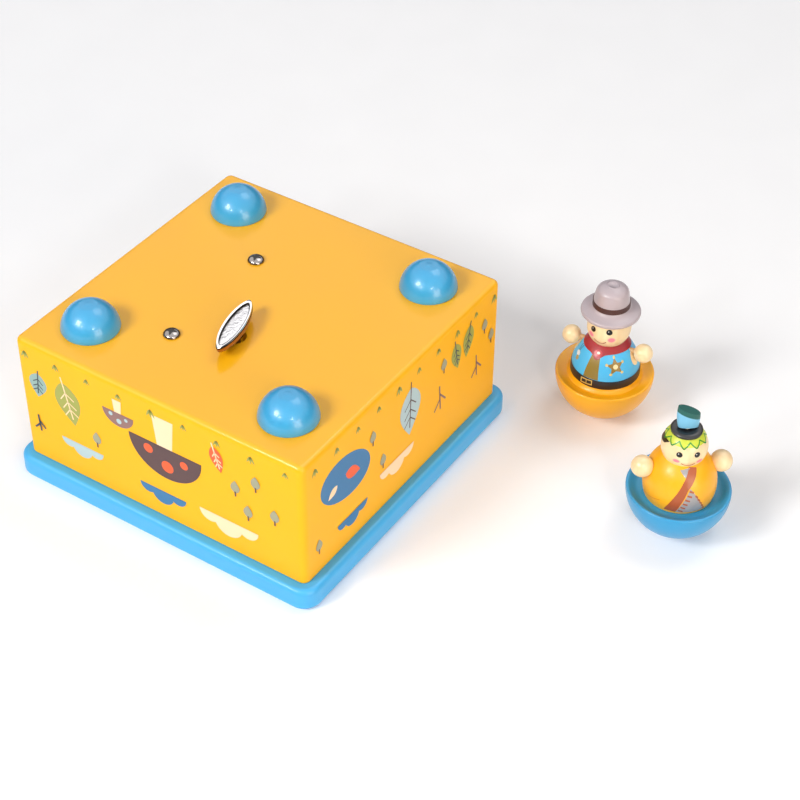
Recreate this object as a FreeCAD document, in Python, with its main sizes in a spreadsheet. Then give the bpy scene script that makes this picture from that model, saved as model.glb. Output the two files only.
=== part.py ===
"""A wooden wind-up music box lying on its stage plate, with two magnetic dancing figures standing beside it.

Frame: +Z up from the table, origin at the centre of the stage plate's outer face, which lies on the table.
The box is turned over, so its bottom panel, feet and winding key are on top. Millimetres throughout.
"""

import FreeCAD, Part
import math
import os

import Sketcher

doc = FreeCAD.newDocument("music_box")
sheet = doc.addObject("Spreadsheet::Sheet", "dims")

# Driving dimensions
DIMENSIONS = {
    # wooden case
    "stage_width": 105.6,
    "stage_thickness": 7.5,
    "stage_corner_radius": 5.5,
    "stage_edge_radius": 1.8,
    "box_width": 99.0,
    "box_height": 42.5,
    "box_corner_radius": 2.2,
    "box_edge_radius": 1.8,
    "wall_thickness": 6.0,
    "panel_thickness": 6.0,
    "foot_radius": 8.5,
    "foot_height": 8.2,
    "foot_spacing": 68.5,
    "foot_dowel_radius": 3.0,
    "foot_dowel_depth": 5.0,
    # movement: bedplate, screws and key
    "key_x": 1.7,
    "key_y": -14.9,
    "bedplate_left": 20.0,
    "bedplate_right": 18.0,
    "bedplate_back": 22.5,
    "bedplate_front": 30.5,
    "bedplate_thickness": 3.0,
    "screw_back_x": -14.7,
    "screw_back_y": 16.8,
    "screw_front_x": -13.4,
    "screw_front_y": -24.2,
    "screw_radius": 1.4,
    "screw_head_radius": 2.7,
    "screw_head_height": 1.7,
    "screw_hole_clearance": 0.3,
    "screw_boss_radius": 3.2,
    "screw_boss_height": 3.0,
    "key_length": 23.2,
    "key_width": 6.4,
    "key_top": 4.7,
    "key_head_height": 3.6,
    "key_rim": 0.9,
    "key_recess": 0.6,
    "key_stem_radius": 2.5,
    "key_gap": 0.6,
    "key_turned": 14.2,
    "key_hole_clearance": 0.8,
    "running_clearance": 0.05,
    # movement: spring, arbor and crown wheel
    "arbor_radius": 1.5,
    "housing_radius": 12.5,
    "housing_wall": 0.8,
    "housing_height": 12.0,
    "spring_strip": 0.35,
    "spring_turns": 6.0,
    "spring_end_gap": 0.7,
    "crown_teeth": 36.0,
    "crown_radius": 15.0,
    "crown_tooth_length": 2.0,
    "crown_tooth_height": 1.6,
    "crown_disc": 1.5,
    "crown_gap": 1.0,
    # movement: pinned cylinder and comb
    "cylinder_radius": 6.5,
    "cylinder_length": 17.0,
    "cylinder_start": 18.2,
    "cylinder_drop": 8.0,
    "cylinder_arbor_radius": 1.0,
    "pin_radius": 0.18,
    "pin_height": 0.5,
    "pinion_teeth": 10.0,
    "pinion_width": 2.2,
    "post_width": 5.0,
    "post_thickness": 1.3,
    "post_depth": 2.0,
    "comb_teeth": 18.0,
    "comb_tooth_length": 7.4,
    "comb_tooth_thickness": 0.8,
    "comb_slit": 0.25,
    "comb_base_length": 7.8,
    "comb_base_thickness": 2.0,
    "comb_pluck_gap": 0.25,
    "comb_screw_radius": 1.1,
    "comb_screw_head_radius": 1.9,
    "comb_screw_head_height": 1.2,
    # movement: governor
    "great_teeth": 36.0,
    "great_module": 0.38,
    "governor_pinion_teeth": 9.0,
    "governor_wheel_teeth": 30.0,
    "fan_pinion_teeth": 9.0,
    "fan_module": 0.33,
    "wheel_width": 1.1,
    "governor_arbor_radius": 0.6,
    "governor_plate": 1.0,
    "governor_plate_width": 5.0,
    "fan_radius": 3.0,
    "fan_blade": 0.5,
    "fan_length": 6.5,
    # magnet rotor under the stage
    "drive_teeth": 20.0,
    "rotor_teeth": 27.0,
    "drive_gear_width": 2.0,
    "stage_pocket_radius": 26.0,
    "stage_pocket_depth": 4.5,
    "rotor_arm_length": 44.0,
    "rotor_arm_width": 11.0,
    "rotor_arm_thickness": 2.0,
    "rotor_hub_radius": 3.5,
    "rotor_pin_radius": 1.5,
    "rotor_pin_depth": 1.8,
    "rotor_pin_head_radius": 2.6,
    "rotor_pin_head_height": 1.0,
    "rotor_magnet_radius": 4.5,
    "rotor_magnet_height": 3.0,
    "rotor_magnet_orbit": 17.0,
    "rotor_gap": 0.8,
    # figures
    "base_radius": 15.0,
    "base_rim": 0.9,
    "base_magnet_radius": 5.0,
    "base_magnet_height": 3.0,
    "base_magnet_floor": 2.0,
    "body_radius": 10.5,
    "body_dowel_depth": 4.0,
    "head_radius": 6.6,
    "neck_dowel_radius": 1.5,
    "neck_dowel_depth": 3.5,
    "hand_reach": 11.3,
    "arm_peg_radius": 0.8,
    "arm_peg_depth": 1.8,
    "rider_x": 76.2,
    "rider_y": 69.0,
    "rider_facing": 9.5,
    "rider_dish_depth": 0.6,
    "rider_hand_radius": 2.9,
    "rider_body_centre": 15.6,
    "rider_body_rise": 13.6,
    "rider_head_height": 32.0,
    "rider_hand_height": 25.0,
    "hat_brim_radius": 8.8,
    "hat_brim_thickness": 1.1,
    "hat_brim_height": 37.2,
    "hat_slope_height": 1.3,
    "hat_slope_radius": 6.6,
    "hat_crown_radius": 5.4,
    "hat_crown_top_radius": 4.7,
    "hat_crown_height": 5.6,
    "hat_dome": 2.0,
    "hat_band_height": 1.7,
    "hat_band_proud": 0.2,
    "scout_x": 118.4,
    "scout_y": 35.4,
    "scout_facing": 39.9,
    "scout_dish_depth": 1.6,
    "scout_hand_radius": 3.2,
    "scout_body_centre": 17.6,
    "scout_body_rise": 12.0,
    "scout_head_height": 30.8,
    "scout_hand_height": 23.6,
    "hair_radius": 4.1,
    "hair_thickness": 0.7,
    "band_height": 1.3,
    "band_proud": 0.15,
    "plume_width": 3.3,
    "plume_depth": 1.8,
    "plume_rise": 8.0,
    "plume_centre": 4.0,
    "plume_height": 6.0,
    "plume_lean": 5.0,
    "plume_slant": 24.0,
}
for row, (alias, number) in enumerate(DIMENSIONS.items(), start=1):
    sheet.set(f"A{row}", alias)
    sheet.set(f"B{row}", repr(number))
    sheet.setAlias(f"B{row}", alias)
doc.recompute()


def dim(alias):
    """One cell of the sheet, as an expression."""
    return f"dims.{alias}"


def number(expression):
    """The value of an expression of sheet cells, in millimetres or degrees."""
    return float(sheet.evalExpression(expression))


pieces = []


def piece(label, thing):
    """Marks a document object as a finished sub-part; the label names its file."""
    thing.Label = label
    pieces.append(thing)
    return thing


def primitive(kind, name, sizes, at=("0", "0", "0"), turn=None):
    """A Part primitive whose sizes and place are expressions of the sheet."""
    made = doc.addObject("Part::" + kind, name)
    if turn:
        made.Placement.Rotation = turn
    for prop, expression in sizes.items():
        made.setExpression(prop, expression)
    for axis, expression in zip("xyz", at):
        made.setExpression("Placement.Base." + axis, expression)
    return made


def rod(name, radius, height, at, turn=None):
    """A round bar that stands on a point, along Z unless it is turned."""
    return primitive("Cylinder", name, {"Radius": radius, "Height": height}, at, turn)


def block(name, size, at, turn=None):
    """A box with its low corner at a point."""
    return primitive("Box", name, dict(zip(("Length", "Width", "Height"), size)), at, turn)


def ball(name, radius, at):
    """A whole sphere about a point."""
    return primitive("Sphere", name, {"Radius": radius}, at)


def egg(name, rise, across, at, deep=None, turn=None):
    """An ellipsoid: its upright half axis, then its half axes across and deep."""
    sizes = {"Radius1": rise, "Radius2": across, "Radius3": deep or across}
    return primitive("Ellipsoid", name, sizes, at, turn)


def fuse(name, *parts):
    """The parts joined into one solid."""
    made = doc.addObject("Part::MultiFuse", name)
    made.Shapes = list(parts)
    made.Refine = True
    return made


def cut(name, base, *tools):
    """The base with the tools taken out of it, one after another."""
    for index, tool in enumerate(tools):
        made = doc.addObject("Part::Cut", f"{name}_{index}")
        made.Base = base
        made.Tool = tool
        base = made
    return base


def common(name, *parts):
    """What the parts share."""
    made = doc.addObject("Part::MultiCommon", name)
    made.Shapes = list(parts)
    return made


def solid(name, shape):
    """A document object for a shape that no primitive gives."""
    made = doc.addObject("Part::Feature", name)
    made.Shape = shape
    return made


X_AXIS = FreeCAD.Vector(1, 0, 0)
Y_AXIS = FreeCAD.Vector(0, 1, 0)
Z_AXIS = FreeCAD.Vector(0, 0, 1)
ALONG_Y = FreeCAD.Rotation(X_AXIS, -90)
ALONG_X = FreeCAD.Rotation(Y_AXIS, 90)


def rounded_slab(name, width, height, base_z, corner, edge):
    """A square slab on the Z axis with rounded corners and rounded rims, as a body."""
    body = doc.addObject("PartDesign::Body", name)
    plane = next(f for f in body.Origin.OriginFeatures if f.Role == "XY_Plane")
    sketch = body.newObject("Sketcher::SketchObject", name + "_outline")
    sketch.AttachmentSupport = (plane, [""])
    sketch.MapMode = "FlatFace"
    half = number(width) / 2
    corners = [(-half, -half), (half, -half), (half, half), (-half, half)]
    for start, end in zip(corners, corners[1:] + corners[:1]):
        sketch.addGeometry(Part.LineSegment(FreeCAD.Vector(*start, 0), FreeCAD.Vector(*end, 0)))
    for line in range(4):
        sketch.addConstraint(Sketcher.Constraint("Coincident", line, 2, (line + 1) % 4, 1))
        sketch.addConstraint(Sketcher.Constraint("Vertical" if line % 2 else "Horizontal", line))
    sketch.addConstraint(Sketcher.Constraint("Symmetric", 0, 1, 1, 2, -1, 1))
    for line in range(2):
        size = sketch.addConstraint(Sketcher.Constraint("Distance", line, 1, line, 2, 2 * half))
        sketch.setExpression(f"Constraints[{size}]", width)
    pad = body.newObject("PartDesign::Pad", name + "_pad")
    pad.Profile = sketch
    pad.setExpression("Length", height)
    body.setExpression("Placement.Base.z", base_z)
    doc.recompute()
    corners_round = body.newObject("PartDesign::Fillet", name + "_corners")
    upright = [i for i, e in enumerate(pad.Shape.Edges, 1) if abs(e.tangentAt(e.FirstParameter).z) > 0.9]
    corners_round.Base = (pad, [f"Edge{i}" for i in upright])
    corners_round.setExpression("Radius", corner)
    doc.recompute()
    tip = corners_round
    for rim, radius in edge.items():
        level = 0.0 if rim == "bottom" else number(height)
        shape = tip.Shape
        on_rim = [i for i, e in enumerate(shape.Edges, 1)
                  if all(abs(v.Point.z - level) < 1e-6 for v in e.Vertexes)]
        round_rim = body.newObject("PartDesign::Fillet", f"{name}_{rim}_rim")
        round_rim.Base = (tip, [f"Edge{i}" for i in on_rim])
        round_rim.setExpression("Radius", radius)
        doc.recompute()
        tip = round_rim
    return body


def toothed_outline(teeth, root, tip, root_width, tip_width, turn):
    """Points of a straight-flanked gear: each tooth has its two root and two tip points."""
    points = []
    for tooth in range(teeth):
        middle = turn + 2 * math.pi * tooth / teeth
        for radius, offset in ((root, -root_width), (tip, -tip_width), (tip, tip_width), (root, root_width)):
            angle = middle + offset / 2 / radius
            points.append(FreeCAD.Vector(radius * math.cos(angle), radius * math.sin(angle), 0))
    return points


TOOTH_ADDENDUM = 0.85
TOOTH_DEDENDUM = 1.15
TOOTH_ROOT_SHARE = 0.52
TOOTH_TIP_SHARE = 0.2


def spur_gear(teeth, module, width, bore, turn):
    """A spur gear about Z with straight flanks and backlash; turn is where its first tooth points, in radians."""
    pitch_radius = teeth * module / 2
    pitch = math.pi * module
    outline = toothed_outline(
        teeth,
        pitch_radius - TOOTH_DEDENDUM * module,
        pitch_radius + TOOTH_ADDENDUM * module,
        TOOTH_ROOT_SHARE * pitch,
        TOOTH_TIP_SHARE * pitch,
        turn,
    )
    face = Part.Face(Part.makePolygon(outline + outline[:1]))
    gear = face.extrude(FreeCAD.Vector(0, 0, width))
    return gear.cut(Part.makeCylinder(bore, width)) if bore else gear


# Levels, from the table up
BOX_FOOT = dim("stage_thickness")
BOX_TOP = f"({BOX_FOOT} + dims.box_height)"
PANEL_INSIDE = f"({BOX_TOP} - dims.panel_thickness)"
BED_FACE = f"({PANEL_INSIDE} - dims.bedplate_thickness)"
HOUSING_END = f"({BED_FACE} - dims.housing_height)"
CROWN_TOP = f"({HOUSING_END} - dims.crown_gap)"
CYLINDER_AXIS = f"({BED_FACE} - dims.cylinder_drop)"
POCKET_FLOOR = f"({BOX_FOOT} - dims.stage_pocket_depth)"
MAGNET_FOOT = f"({POCKET_FLOOR} + dims.rotor_gap)"
ARM_FOOT = f"({MAGNET_FOOT} + dims.rotor_magnet_height)"
GEAR_FOOT = f"({ARM_FOOT} + dims.rotor_arm_thickness + dims.rotor_gap)"
GEAR_TOP = f"({GEAR_FOOT} + dims.drive_gear_width)"
KEY_TOP = f"({BOX_TOP} + dims.key_top)"
KEY_AT = (dim("key_x"), dim("key_y"))
MOVEMENT_SCREWS = {
    "back": (dim("screw_back_x"), dim("screw_back_y")),
    "front": (dim("screw_front_x"), dim("screw_front_y")),
}
FEET = {"front_left": (-1, -1), "front_right": (1, -1), "back_right": (1, 1), "back_left": (-1, 1)}


def foot_place(side):
    """Where a foot stands on the bottom panel."""
    return tuple(f"({sign}) * dims.foot_spacing / 2" for sign in FEET[side])


def build_case():
    """Four mitred walls round a square cavity, a bottom panel let in between them, and the stage plate."""
    outer = rounded_slab(
        "outer_case",
        dim("box_width"),
        dim("box_height"),
        BOX_FOOT,
        dim("box_corner_radius"),
        {"top": dim("box_edge_radius"), "bottom": "0.25 * dims.box_edge_radius"},
    )
    inner = "(dims.box_width - 2 * dims.wall_thickness)"
    cavity = block("cavity", (inner, inner, dim("box_height")), (f"-{inner} / 2", f"-{inner} / 2", BOX_FOOT))
    shell = cut("shell", outer, cavity)
    for turn, label in enumerate(("front_wall", "right_wall", "back_wall", "left_wall")):
        mitre = primitive(
            "Wedge",
            label + "_mitre",
            {
                "Xmin": "-dims.box_width / 2",
                "Xmax": "dims.box_width / 2",
                "X2min": "0",
                "X2max": "0",
                "Ymin": "-dims.box_width / 2",
                "Ymax": "0",
                "Zmin": "0",
                "Z2min": "0",
                "Zmax": dim("box_height"),
                "Z2max": dim("box_height"),
            },
            ("0", "0", BOX_FOOT),
            FreeCAD.Rotation(Z_AXIS, 90 * turn),
        )
        piece(label, common(label + "_board", shell, mitre))
    panel = block(
        "panel_blank", (inner, inner, dim("panel_thickness")), (f"-{inner} / 2", f"-{inner} / 2", PANEL_INSIDE)
    )
    holes = [rod("key_hole", "dims.key_stem_radius + dims.key_hole_clearance", dim("panel_thickness"),
                 (*KEY_AT, PANEL_INSIDE))]
    for side, place in MOVEMENT_SCREWS.items():
        radius = "dims.screw_radius + dims.screw_hole_clearance"
        holes.append(rod(f"screw_hole_{side}", radius, dim("panel_thickness"), (*place, PANEL_INSIDE)))
    for side in FEET:
        low = f"{BOX_TOP} - dims.foot_dowel_depth"
        holes.append(rod(f"dowel_hole_{side}", dim("foot_dowel_radius"), dim("foot_dowel_depth"),
                         (*foot_place(side), low)))
    piece("bottom_panel", cut("panel_bored", panel, *holes))
    plate = rounded_slab(
        "stage_blank",
        dim("stage_width"),
        dim("stage_thickness"),
        "0",
        dim("stage_corner_radius"),
        {"top": dim("stage_edge_radius"), "bottom": dim("stage_edge_radius")},
    )
    pocket = rod("stage_pocket", dim("stage_pocket_radius"), dim("stage_pocket_depth"), ("0", "0", POCKET_FLOOR))
    pin_hole = rod("stage_pin_hole", dim("rotor_pin_radius"), dim("rotor_pin_depth"),
                   ("0", "0", f"{POCKET_FLOOR} - dims.rotor_pin_depth"))
    piece("stage_plate", cut("stage_pocketed", plate, pocket, pin_hole))


def build_feet():
    """Four half-ball feet with a small flat to stand on, each on a glued dowel."""
    dowels = []
    for side in FEET:
        at = (*foot_place(side), BOX_TOP)
        dome = primitive("Sphere", f"dome_{side}", {"Radius": dim("foot_radius"), "Angle1": "0"}, at)
        reach = block(
            f"foot_reach_{side}",
            ("2 * dims.foot_radius", "2 * dims.foot_radius", dim("foot_height")),
            (f"{at[0]} - dims.foot_radius", f"{at[1]} - dims.foot_radius", BOX_TOP),
        )
        socket = rod(f"foot_socket_{side}", dim("foot_dowel_radius"), dim("foot_dowel_depth"), at)
        piece(f"foot_{side}", cut(f"foot_{side}_bored", common(f"foot_{side}_flat", dome, reach), socket))
        low = f"{BOX_TOP} - dims.foot_dowel_depth"
        dowels.append(rod(f"dowel_{side}", dim("foot_dowel_radius"), "2 * dims.foot_dowel_depth",
                          (at[0], at[1], low)))
    group = doc.addObject("Part::Compound", "dowel_group")
    group.Links = dowels
    piece("foot_dowels", group)


def build_winding():
    """The winding key, its arbor through the spring housing, the crown wheel and the rotor's drive gear."""
    lens_radius = "((dims.key_length ^ 2 + dims.key_width ^ 2) / (4 * dims.key_width))"
    head_foot = f"{KEY_TOP} - dims.key_head_height"
    turn = FreeCAD.Rotation(Z_AXIS, number(dim("key_turned")))
    side_offset = f"({lens_radius} - dims.key_width / 2)"
    arcs = []
    for index, sign in enumerate(("+", "-")):
        x = f"dims.key_x {sign} {side_offset} * cos(dims.key_turned)"
        y = f"dims.key_y {sign} {side_offset} * sin(dims.key_turned)"
        arcs.append(rod(f"key_arc_{index}", lens_radius, dim("key_head_height"), (x, y, head_foot)))
    hull = egg("key_hull", dim("key_head_height"), "dims.key_width", (*KEY_AT, KEY_TOP),
               "0.62 * dims.key_length", turn)
    lens = common("key_lens", *arcs, hull)
    recess_arcs = []
    for index, sign in enumerate(("+", "-")):
        x = f"dims.key_x {sign} {side_offset} * cos(dims.key_turned)"
        y = f"dims.key_y {sign} {side_offset} * sin(dims.key_turned)"
        recess_arcs.append(rod(f"recess_arc_{index}", f"{lens_radius} - dims.key_rim", dim("key_recess"),
                               (x, y, f"{KEY_TOP} - dims.key_recess")))
    head = cut("key_head", lens, common("key_recess", *recess_arcs))
    stem_foot = f"{BOX_TOP} + dims.key_gap"
    stem = rod("key_stem", dim("key_stem_radius"), "dims.key_top - dims.key_gap - dims.key_recess - dims.key_rim",
               (*KEY_AT, stem_foot))
    socket_depth = "(dims.key_top - dims.key_gap) / 2"
    socket = rod("key_socket", dim("arbor_radius"), socket_depth, (*KEY_AT, stem_foot))
    piece("winding_key", cut("key_bored", fuse("key_whole", head, stem), socket))
    arbor_height = f"{stem_foot} + {socket_depth} - {GEAR_FOOT}"
    piece("winding_arbor", rod("arbor_bar", dim("arbor_radius"), arbor_height, (*KEY_AT, GEAR_FOOT)))

    teeth = int(number(dim("crown_teeth")))
    outer = number(dim("crown_radius"))
    inner = outer - number(dim("crown_tooth_length"))
    top = number(CROWN_TOP)
    disc = Part.makeCylinder(outer, number(dim("crown_disc")), FreeCAD.Vector(0, 0, 0))
    pitch = 2 * math.pi * (outer + inner) / 2 / teeth
    root_half = 0.16 * pitch
    tip_half = 0.09 * pitch
    rise = number(dim("crown_tooth_height"))
    level = number(dim("crown_disc"))
    wheel = [disc]
    for tooth in range(teeth):
        profile = [(-root_half, 0), (root_half, 0), (tip_half, rise), (-tip_half, rise)]
        corners = [FreeCAD.Vector(inner, y, level + z) for y, z in profile]
        flank = Part.Face(Part.makePolygon(corners + corners[:1]))
        body = flank.extrude(FreeCAD.Vector(outer - inner - 0.05 * rise, 0, 0))
        body.rotate(FreeCAD.Vector(0, 0, 0), Z_AXIS, 90 + 360 * (tooth + 0.5) / teeth)
        wheel.append(body)
    crown = wheel[0].multiFuse(wheel[1:]).removeSplitter()
    crown = crown.cut(Part.makeCylinder(number(dim("arbor_radius")), level))
    crown_wheel = solid("crown_solid", crown)
    crown_foot = top - level
    crown_wheel.Placement.Base = FreeCAD.Vector(number(dim("key_x")), number(dim("key_y")), crown_foot)
    piece("crown_wheel", crown_wheel)

    drive_teeth, rotor_teeth = (int(number(dim(n))) for n in ("drive_teeth", "rotor_teeth"))
    key = FreeCAD.Vector(number(dim("key_x")), number(dim("key_y")), number(GEAR_FOOT))
    towards_rotor = math.atan2(-key.y, -key.x)
    module = 2 * math.hypot(key.x, key.y) / (drive_teeth + rotor_teeth)
    width = number(dim("drive_gear_width"))
    gear = solid("drive_gear_solid",
                 spur_gear(drive_teeth, module, width, number(dim("arbor_radius")), towards_rotor))
    gear.Placement.Base = key
    piece("drive_gear", gear)
    half_tooth = math.pi / rotor_teeth
    rotor_bore = number("dims.rotor_pin_radius + dims.running_clearance")
    rotor = solid("rotor_gear_solid",
                  spur_gear(rotor_teeth, module, width, rotor_bore, towards_rotor + math.pi + half_tooth))
    rotor.Placement.Base = FreeCAD.Vector(0, 0, key.z)
    piece("rotor_gear", rotor)


def build_rotor():
    """A bar with a magnet at each end, turning on a headed pin in the stage plate's pocket."""
    bore = "dims.rotor_pin_radius + dims.running_clearance"
    bar = block(
        "arm_bar",
        (dim("rotor_arm_length"), dim("rotor_arm_width"), dim("rotor_arm_thickness")),
        ("-dims.rotor_arm_length / 2", "-dims.rotor_arm_width / 2", ARM_FOOT),
    )
    arm_height = "(dims.rotor_arm_thickness + dims.rotor_gap)"
    hub = rod("arm_hub", dim("rotor_hub_radius"), arm_height, ("0", "0", ARM_FOOT))
    hole = rod("arm_hole", bore, arm_height, ("0", "0", ARM_FOOT))
    piece("rotor_arm", cut("arm_bored", fuse("arm_whole", bar, hub), hole))
    magnets = [
        rod(f"rotor_magnet_{index}", dim("rotor_magnet_radius"), dim("rotor_magnet_height"),
            (f"({sign}) * dims.rotor_magnet_orbit", "0", MAGNET_FOOT))
        for index, sign in enumerate((-1, 1))
    ]
    group = doc.addObject("Part::Compound", "rotor_magnet_group")
    group.Links = magnets
    piece("rotor_magnets", group)
    foot = f"({POCKET_FLOOR} - dims.rotor_pin_depth)"
    head_foot = f"({GEAR_TOP} + 0.5 * dims.rotor_gap)"
    shank = rod("pin_shank", dim("rotor_pin_radius"), f"{head_foot} - {foot}", ("0", "0", foot))
    head = rod("pin_head", dim("rotor_pin_head_radius"), dim("rotor_pin_head_height"), ("0", "0", head_foot))
    piece("rotor_pin", fuse("pin_whole", shank, head))


def build_movement_frame():
    """The cast bedplate with its bosses, the fixed spring housing, the mainspring and the movement's screws."""
    slab = block(
        "bed_slab",
        ("dims.bedplate_left + dims.bedplate_right", "dims.bedplate_front + dims.bedplate_back",
         dim("bedplate_thickness")),
        ("-dims.bedplate_left", "-dims.bedplate_front", BED_FACE),
    )
    boss = rod("screw_boss", dim("screw_boss_radius"), dim("screw_boss_height"),
               (*MOVEMENT_SCREWS["front"], f"{BED_FACE} - dims.screw_boss_height"))
    rest_foot = f"({CYLINDER_AXIS} + dims.comb_tooth_thickness / 2)"
    rest = block(
        "comb_rest",
        (dim("comb_base_length"), "dims.cylinder_length + 3 * dims.post_thickness", f"{BED_FACE} - {rest_foot}"),
        (COMB_BACK, f"{CYLINDER_FOOT}", rest_foot),
    )
    posts = [
        block(
            f"bearing_post_{index}",
            (dim("post_width"), dim("post_thickness"), "dims.cylinder_drop + dims.post_depth"),
            ("dims.key_x - dims.post_width / 2", start, f"{CYLINDER_AXIS} - dims.post_depth"),
        )
        for index, start in enumerate((POST_NEAR, POST_FAR))
    ]
    casting = fuse("bed_casting", slab, boss, rest, *posts)
    clear = dim("running_clearance")
    drilled = [rod("arbor_bearing", f"dims.arbor_radius + {clear}", dim("bedplate_thickness"), (*KEY_AT, BED_FACE))]
    drilled.append(rod("cylinder_bearing", f"dims.cylinder_arbor_radius + {clear}",
                       f"{POST_FAR} + dims.post_thickness - {POST_NEAR}",
                       (dim("key_x"), POST_NEAR, CYLINDER_AXIS), ALONG_Y))
    for side, place in MOVEMENT_SCREWS.items():
        drilled.append(rod(f"tapped_{side}", dim("screw_radius"), SCREW_BITE, (*place, f"{PANEL_INSIDE} - {SCREW_BITE}")))
    for index, place in enumerate(COMB_SCREWS):
        drilled.append(rod(f"comb_tapped_{index}", dim("comb_screw_radius"), COMB_SCREW_BITE, (*place, rest_foot)))
    piece("bedplate", cut("bed_drilled", casting, *drilled))

    screws = []
    for side, place in MOVEMENT_SCREWS.items():
        length = f"dims.panel_thickness + {SCREW_BITE}"
        shank = rod(f"screw_shank_{side}", dim("screw_radius"), length, (*place, f"{PANEL_INSIDE} - {SCREW_BITE}"))
        dome = egg(f"screw_dome_{side}", dim("screw_head_height"), dim("screw_head_radius"), (*place, BOX_TOP))
        upper = rod(f"screw_upper_{side}", dim("screw_head_radius"), dim("screw_head_height"), (*place, BOX_TOP))
        slots = []
        for index, angle in enumerate((20, 110)):
            slot_turn = FreeCAD.Rotation(Z_AXIS, angle)
            slot = block(
                f"screw_slot_{side}_{index}",
                ("1.2 * dims.screw_head_radius", "0.22 * dims.screw_head_radius", dim("screw_head_height")),
                (f"{place[0]} - 0.6 * dims.screw_head_radius * cos({angle})"
                 f" + 0.11 * dims.screw_head_radius * sin({angle})",
                 f"{place[1]} - 0.6 * dims.screw_head_radius * sin({angle})"
                 f" - 0.11 * dims.screw_head_radius * cos({angle})",
                 f"{BOX_TOP} + 0.45 * dims.screw_head_height"),
                slot_turn,
            )
            slots.append(slot)
        head = cut(f"screw_head_{side}", common(f"screw_pan_{side}", dome, upper), *slots)
        screws.append(fuse(f"screw_{side}", head, shank))
    group = doc.addObject("Part::Compound", "screw_group")
    group.Links = screws
    piece("movement_screws", group)

    drum = rod("housing_drum", dim("housing_radius"), dim("housing_height"), (*KEY_AT, HOUSING_END))
    hollow = rod("housing_hollow", "dims.housing_radius - dims.housing_wall",
                 "dims.housing_height - dims.housing_wall", (*KEY_AT, f"{HOUSING_END} + dims.housing_wall"))
    bearing = rod("housing_bearing", f"dims.arbor_radius + {clear}", dim("housing_wall"), (*KEY_AT, HOUSING_END))
    piece("spring_housing", cut("housing_cup", drum, hollow, bearing))
    build_mainspring()


def build_mainspring():
    """A flat steel strip wound in half circles of growing radius, from near the arbor to the housing wall."""
    gap = number(dim("spring_end_gap"))
    strip = number(dim("spring_strip"))
    first = number(dim("arbor_radius")) + gap
    last = number("dims.housing_radius - dims.housing_wall") - gap - strip
    half_turns = int(2 * number(dim("spring_turns")))
    step = (last - first) / half_turns
    sides = {"inner": [], "outer": []}
    centre = 0.0
    radius = first
    for half in range(half_turns):
        sign = 1 if half % 2 == 0 else -1
        for side, reach in (("inner", radius), ("outer", radius + strip)):
            start = FreeCAD.Vector(centre + sign * reach, 0, 0)
            over = FreeCAD.Vector(centre, sign * reach, 0)
            end = FreeCAD.Vector(centre - sign * reach, 0, 0)
            sides[side].append(Part.Arc(start, over, end).toShape())
        centre += sign * step
        radius += step
    inner, outer = sides["inner"], sides["outer"]
    ends = [Part.makeLine(inner[0].Vertexes[0].Point, outer[0].Vertexes[0].Point),
            Part.makeLine(inner[-1].Vertexes[-1].Point, outer[-1].Vertexes[-1].Point)]
    outline = Part.Wire(Part.__sortEdges__(inner + outer + ends))
    height = number("dims.housing_height - dims.housing_wall") - 2 * gap
    strip_solid = Part.Face(outline).extrude(FreeCAD.Vector(0, 0, height))
    spring = solid("spring_strip_solid", strip_solid)
    spring.Placement.Base = FreeCAD.Vector(
        number(dim("key_x")), number(dim("key_y")), number(f"{HOUSING_END} + dims.housing_wall") + gap
    )
    piece("mainspring", spring)


# Places along the movement, worked out from the key's axis
CYLINDER_FOOT = "(dims.key_y + dims.cylinder_start)"
CYLINDER_END = f"({CYLINDER_FOOT} + dims.cylinder_length)"
POST_GAP = "0.6"
POST_NEAR = f"({CYLINDER_FOOT} - {POST_GAP} - dims.post_thickness)"
GREAT_FOOT = f"({CYLINDER_END} + 0.3)"
POST_FAR = f"({GREAT_FOOT} + dims.wheel_width + {POST_GAP})"
COMB_TIP = "(dims.key_x - dims.cylinder_radius - dims.pin_height - dims.comb_pluck_gap)"
COMB_BACK = f"({COMB_TIP} - dims.comb_tooth_length - dims.comb_base_length)"
SCREW_BITE = "(dims.bedplate_thickness + 1.0)"
COMB_SCREW_BITE = "4.0"
COMB_SCREWS = [
    (f"{COMB_BACK} + dims.comb_base_length / 2", f"{CYLINDER_FOOT} + {share} * dims.cylinder_length")
    for share in (0.2, 0.8)
]


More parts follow.
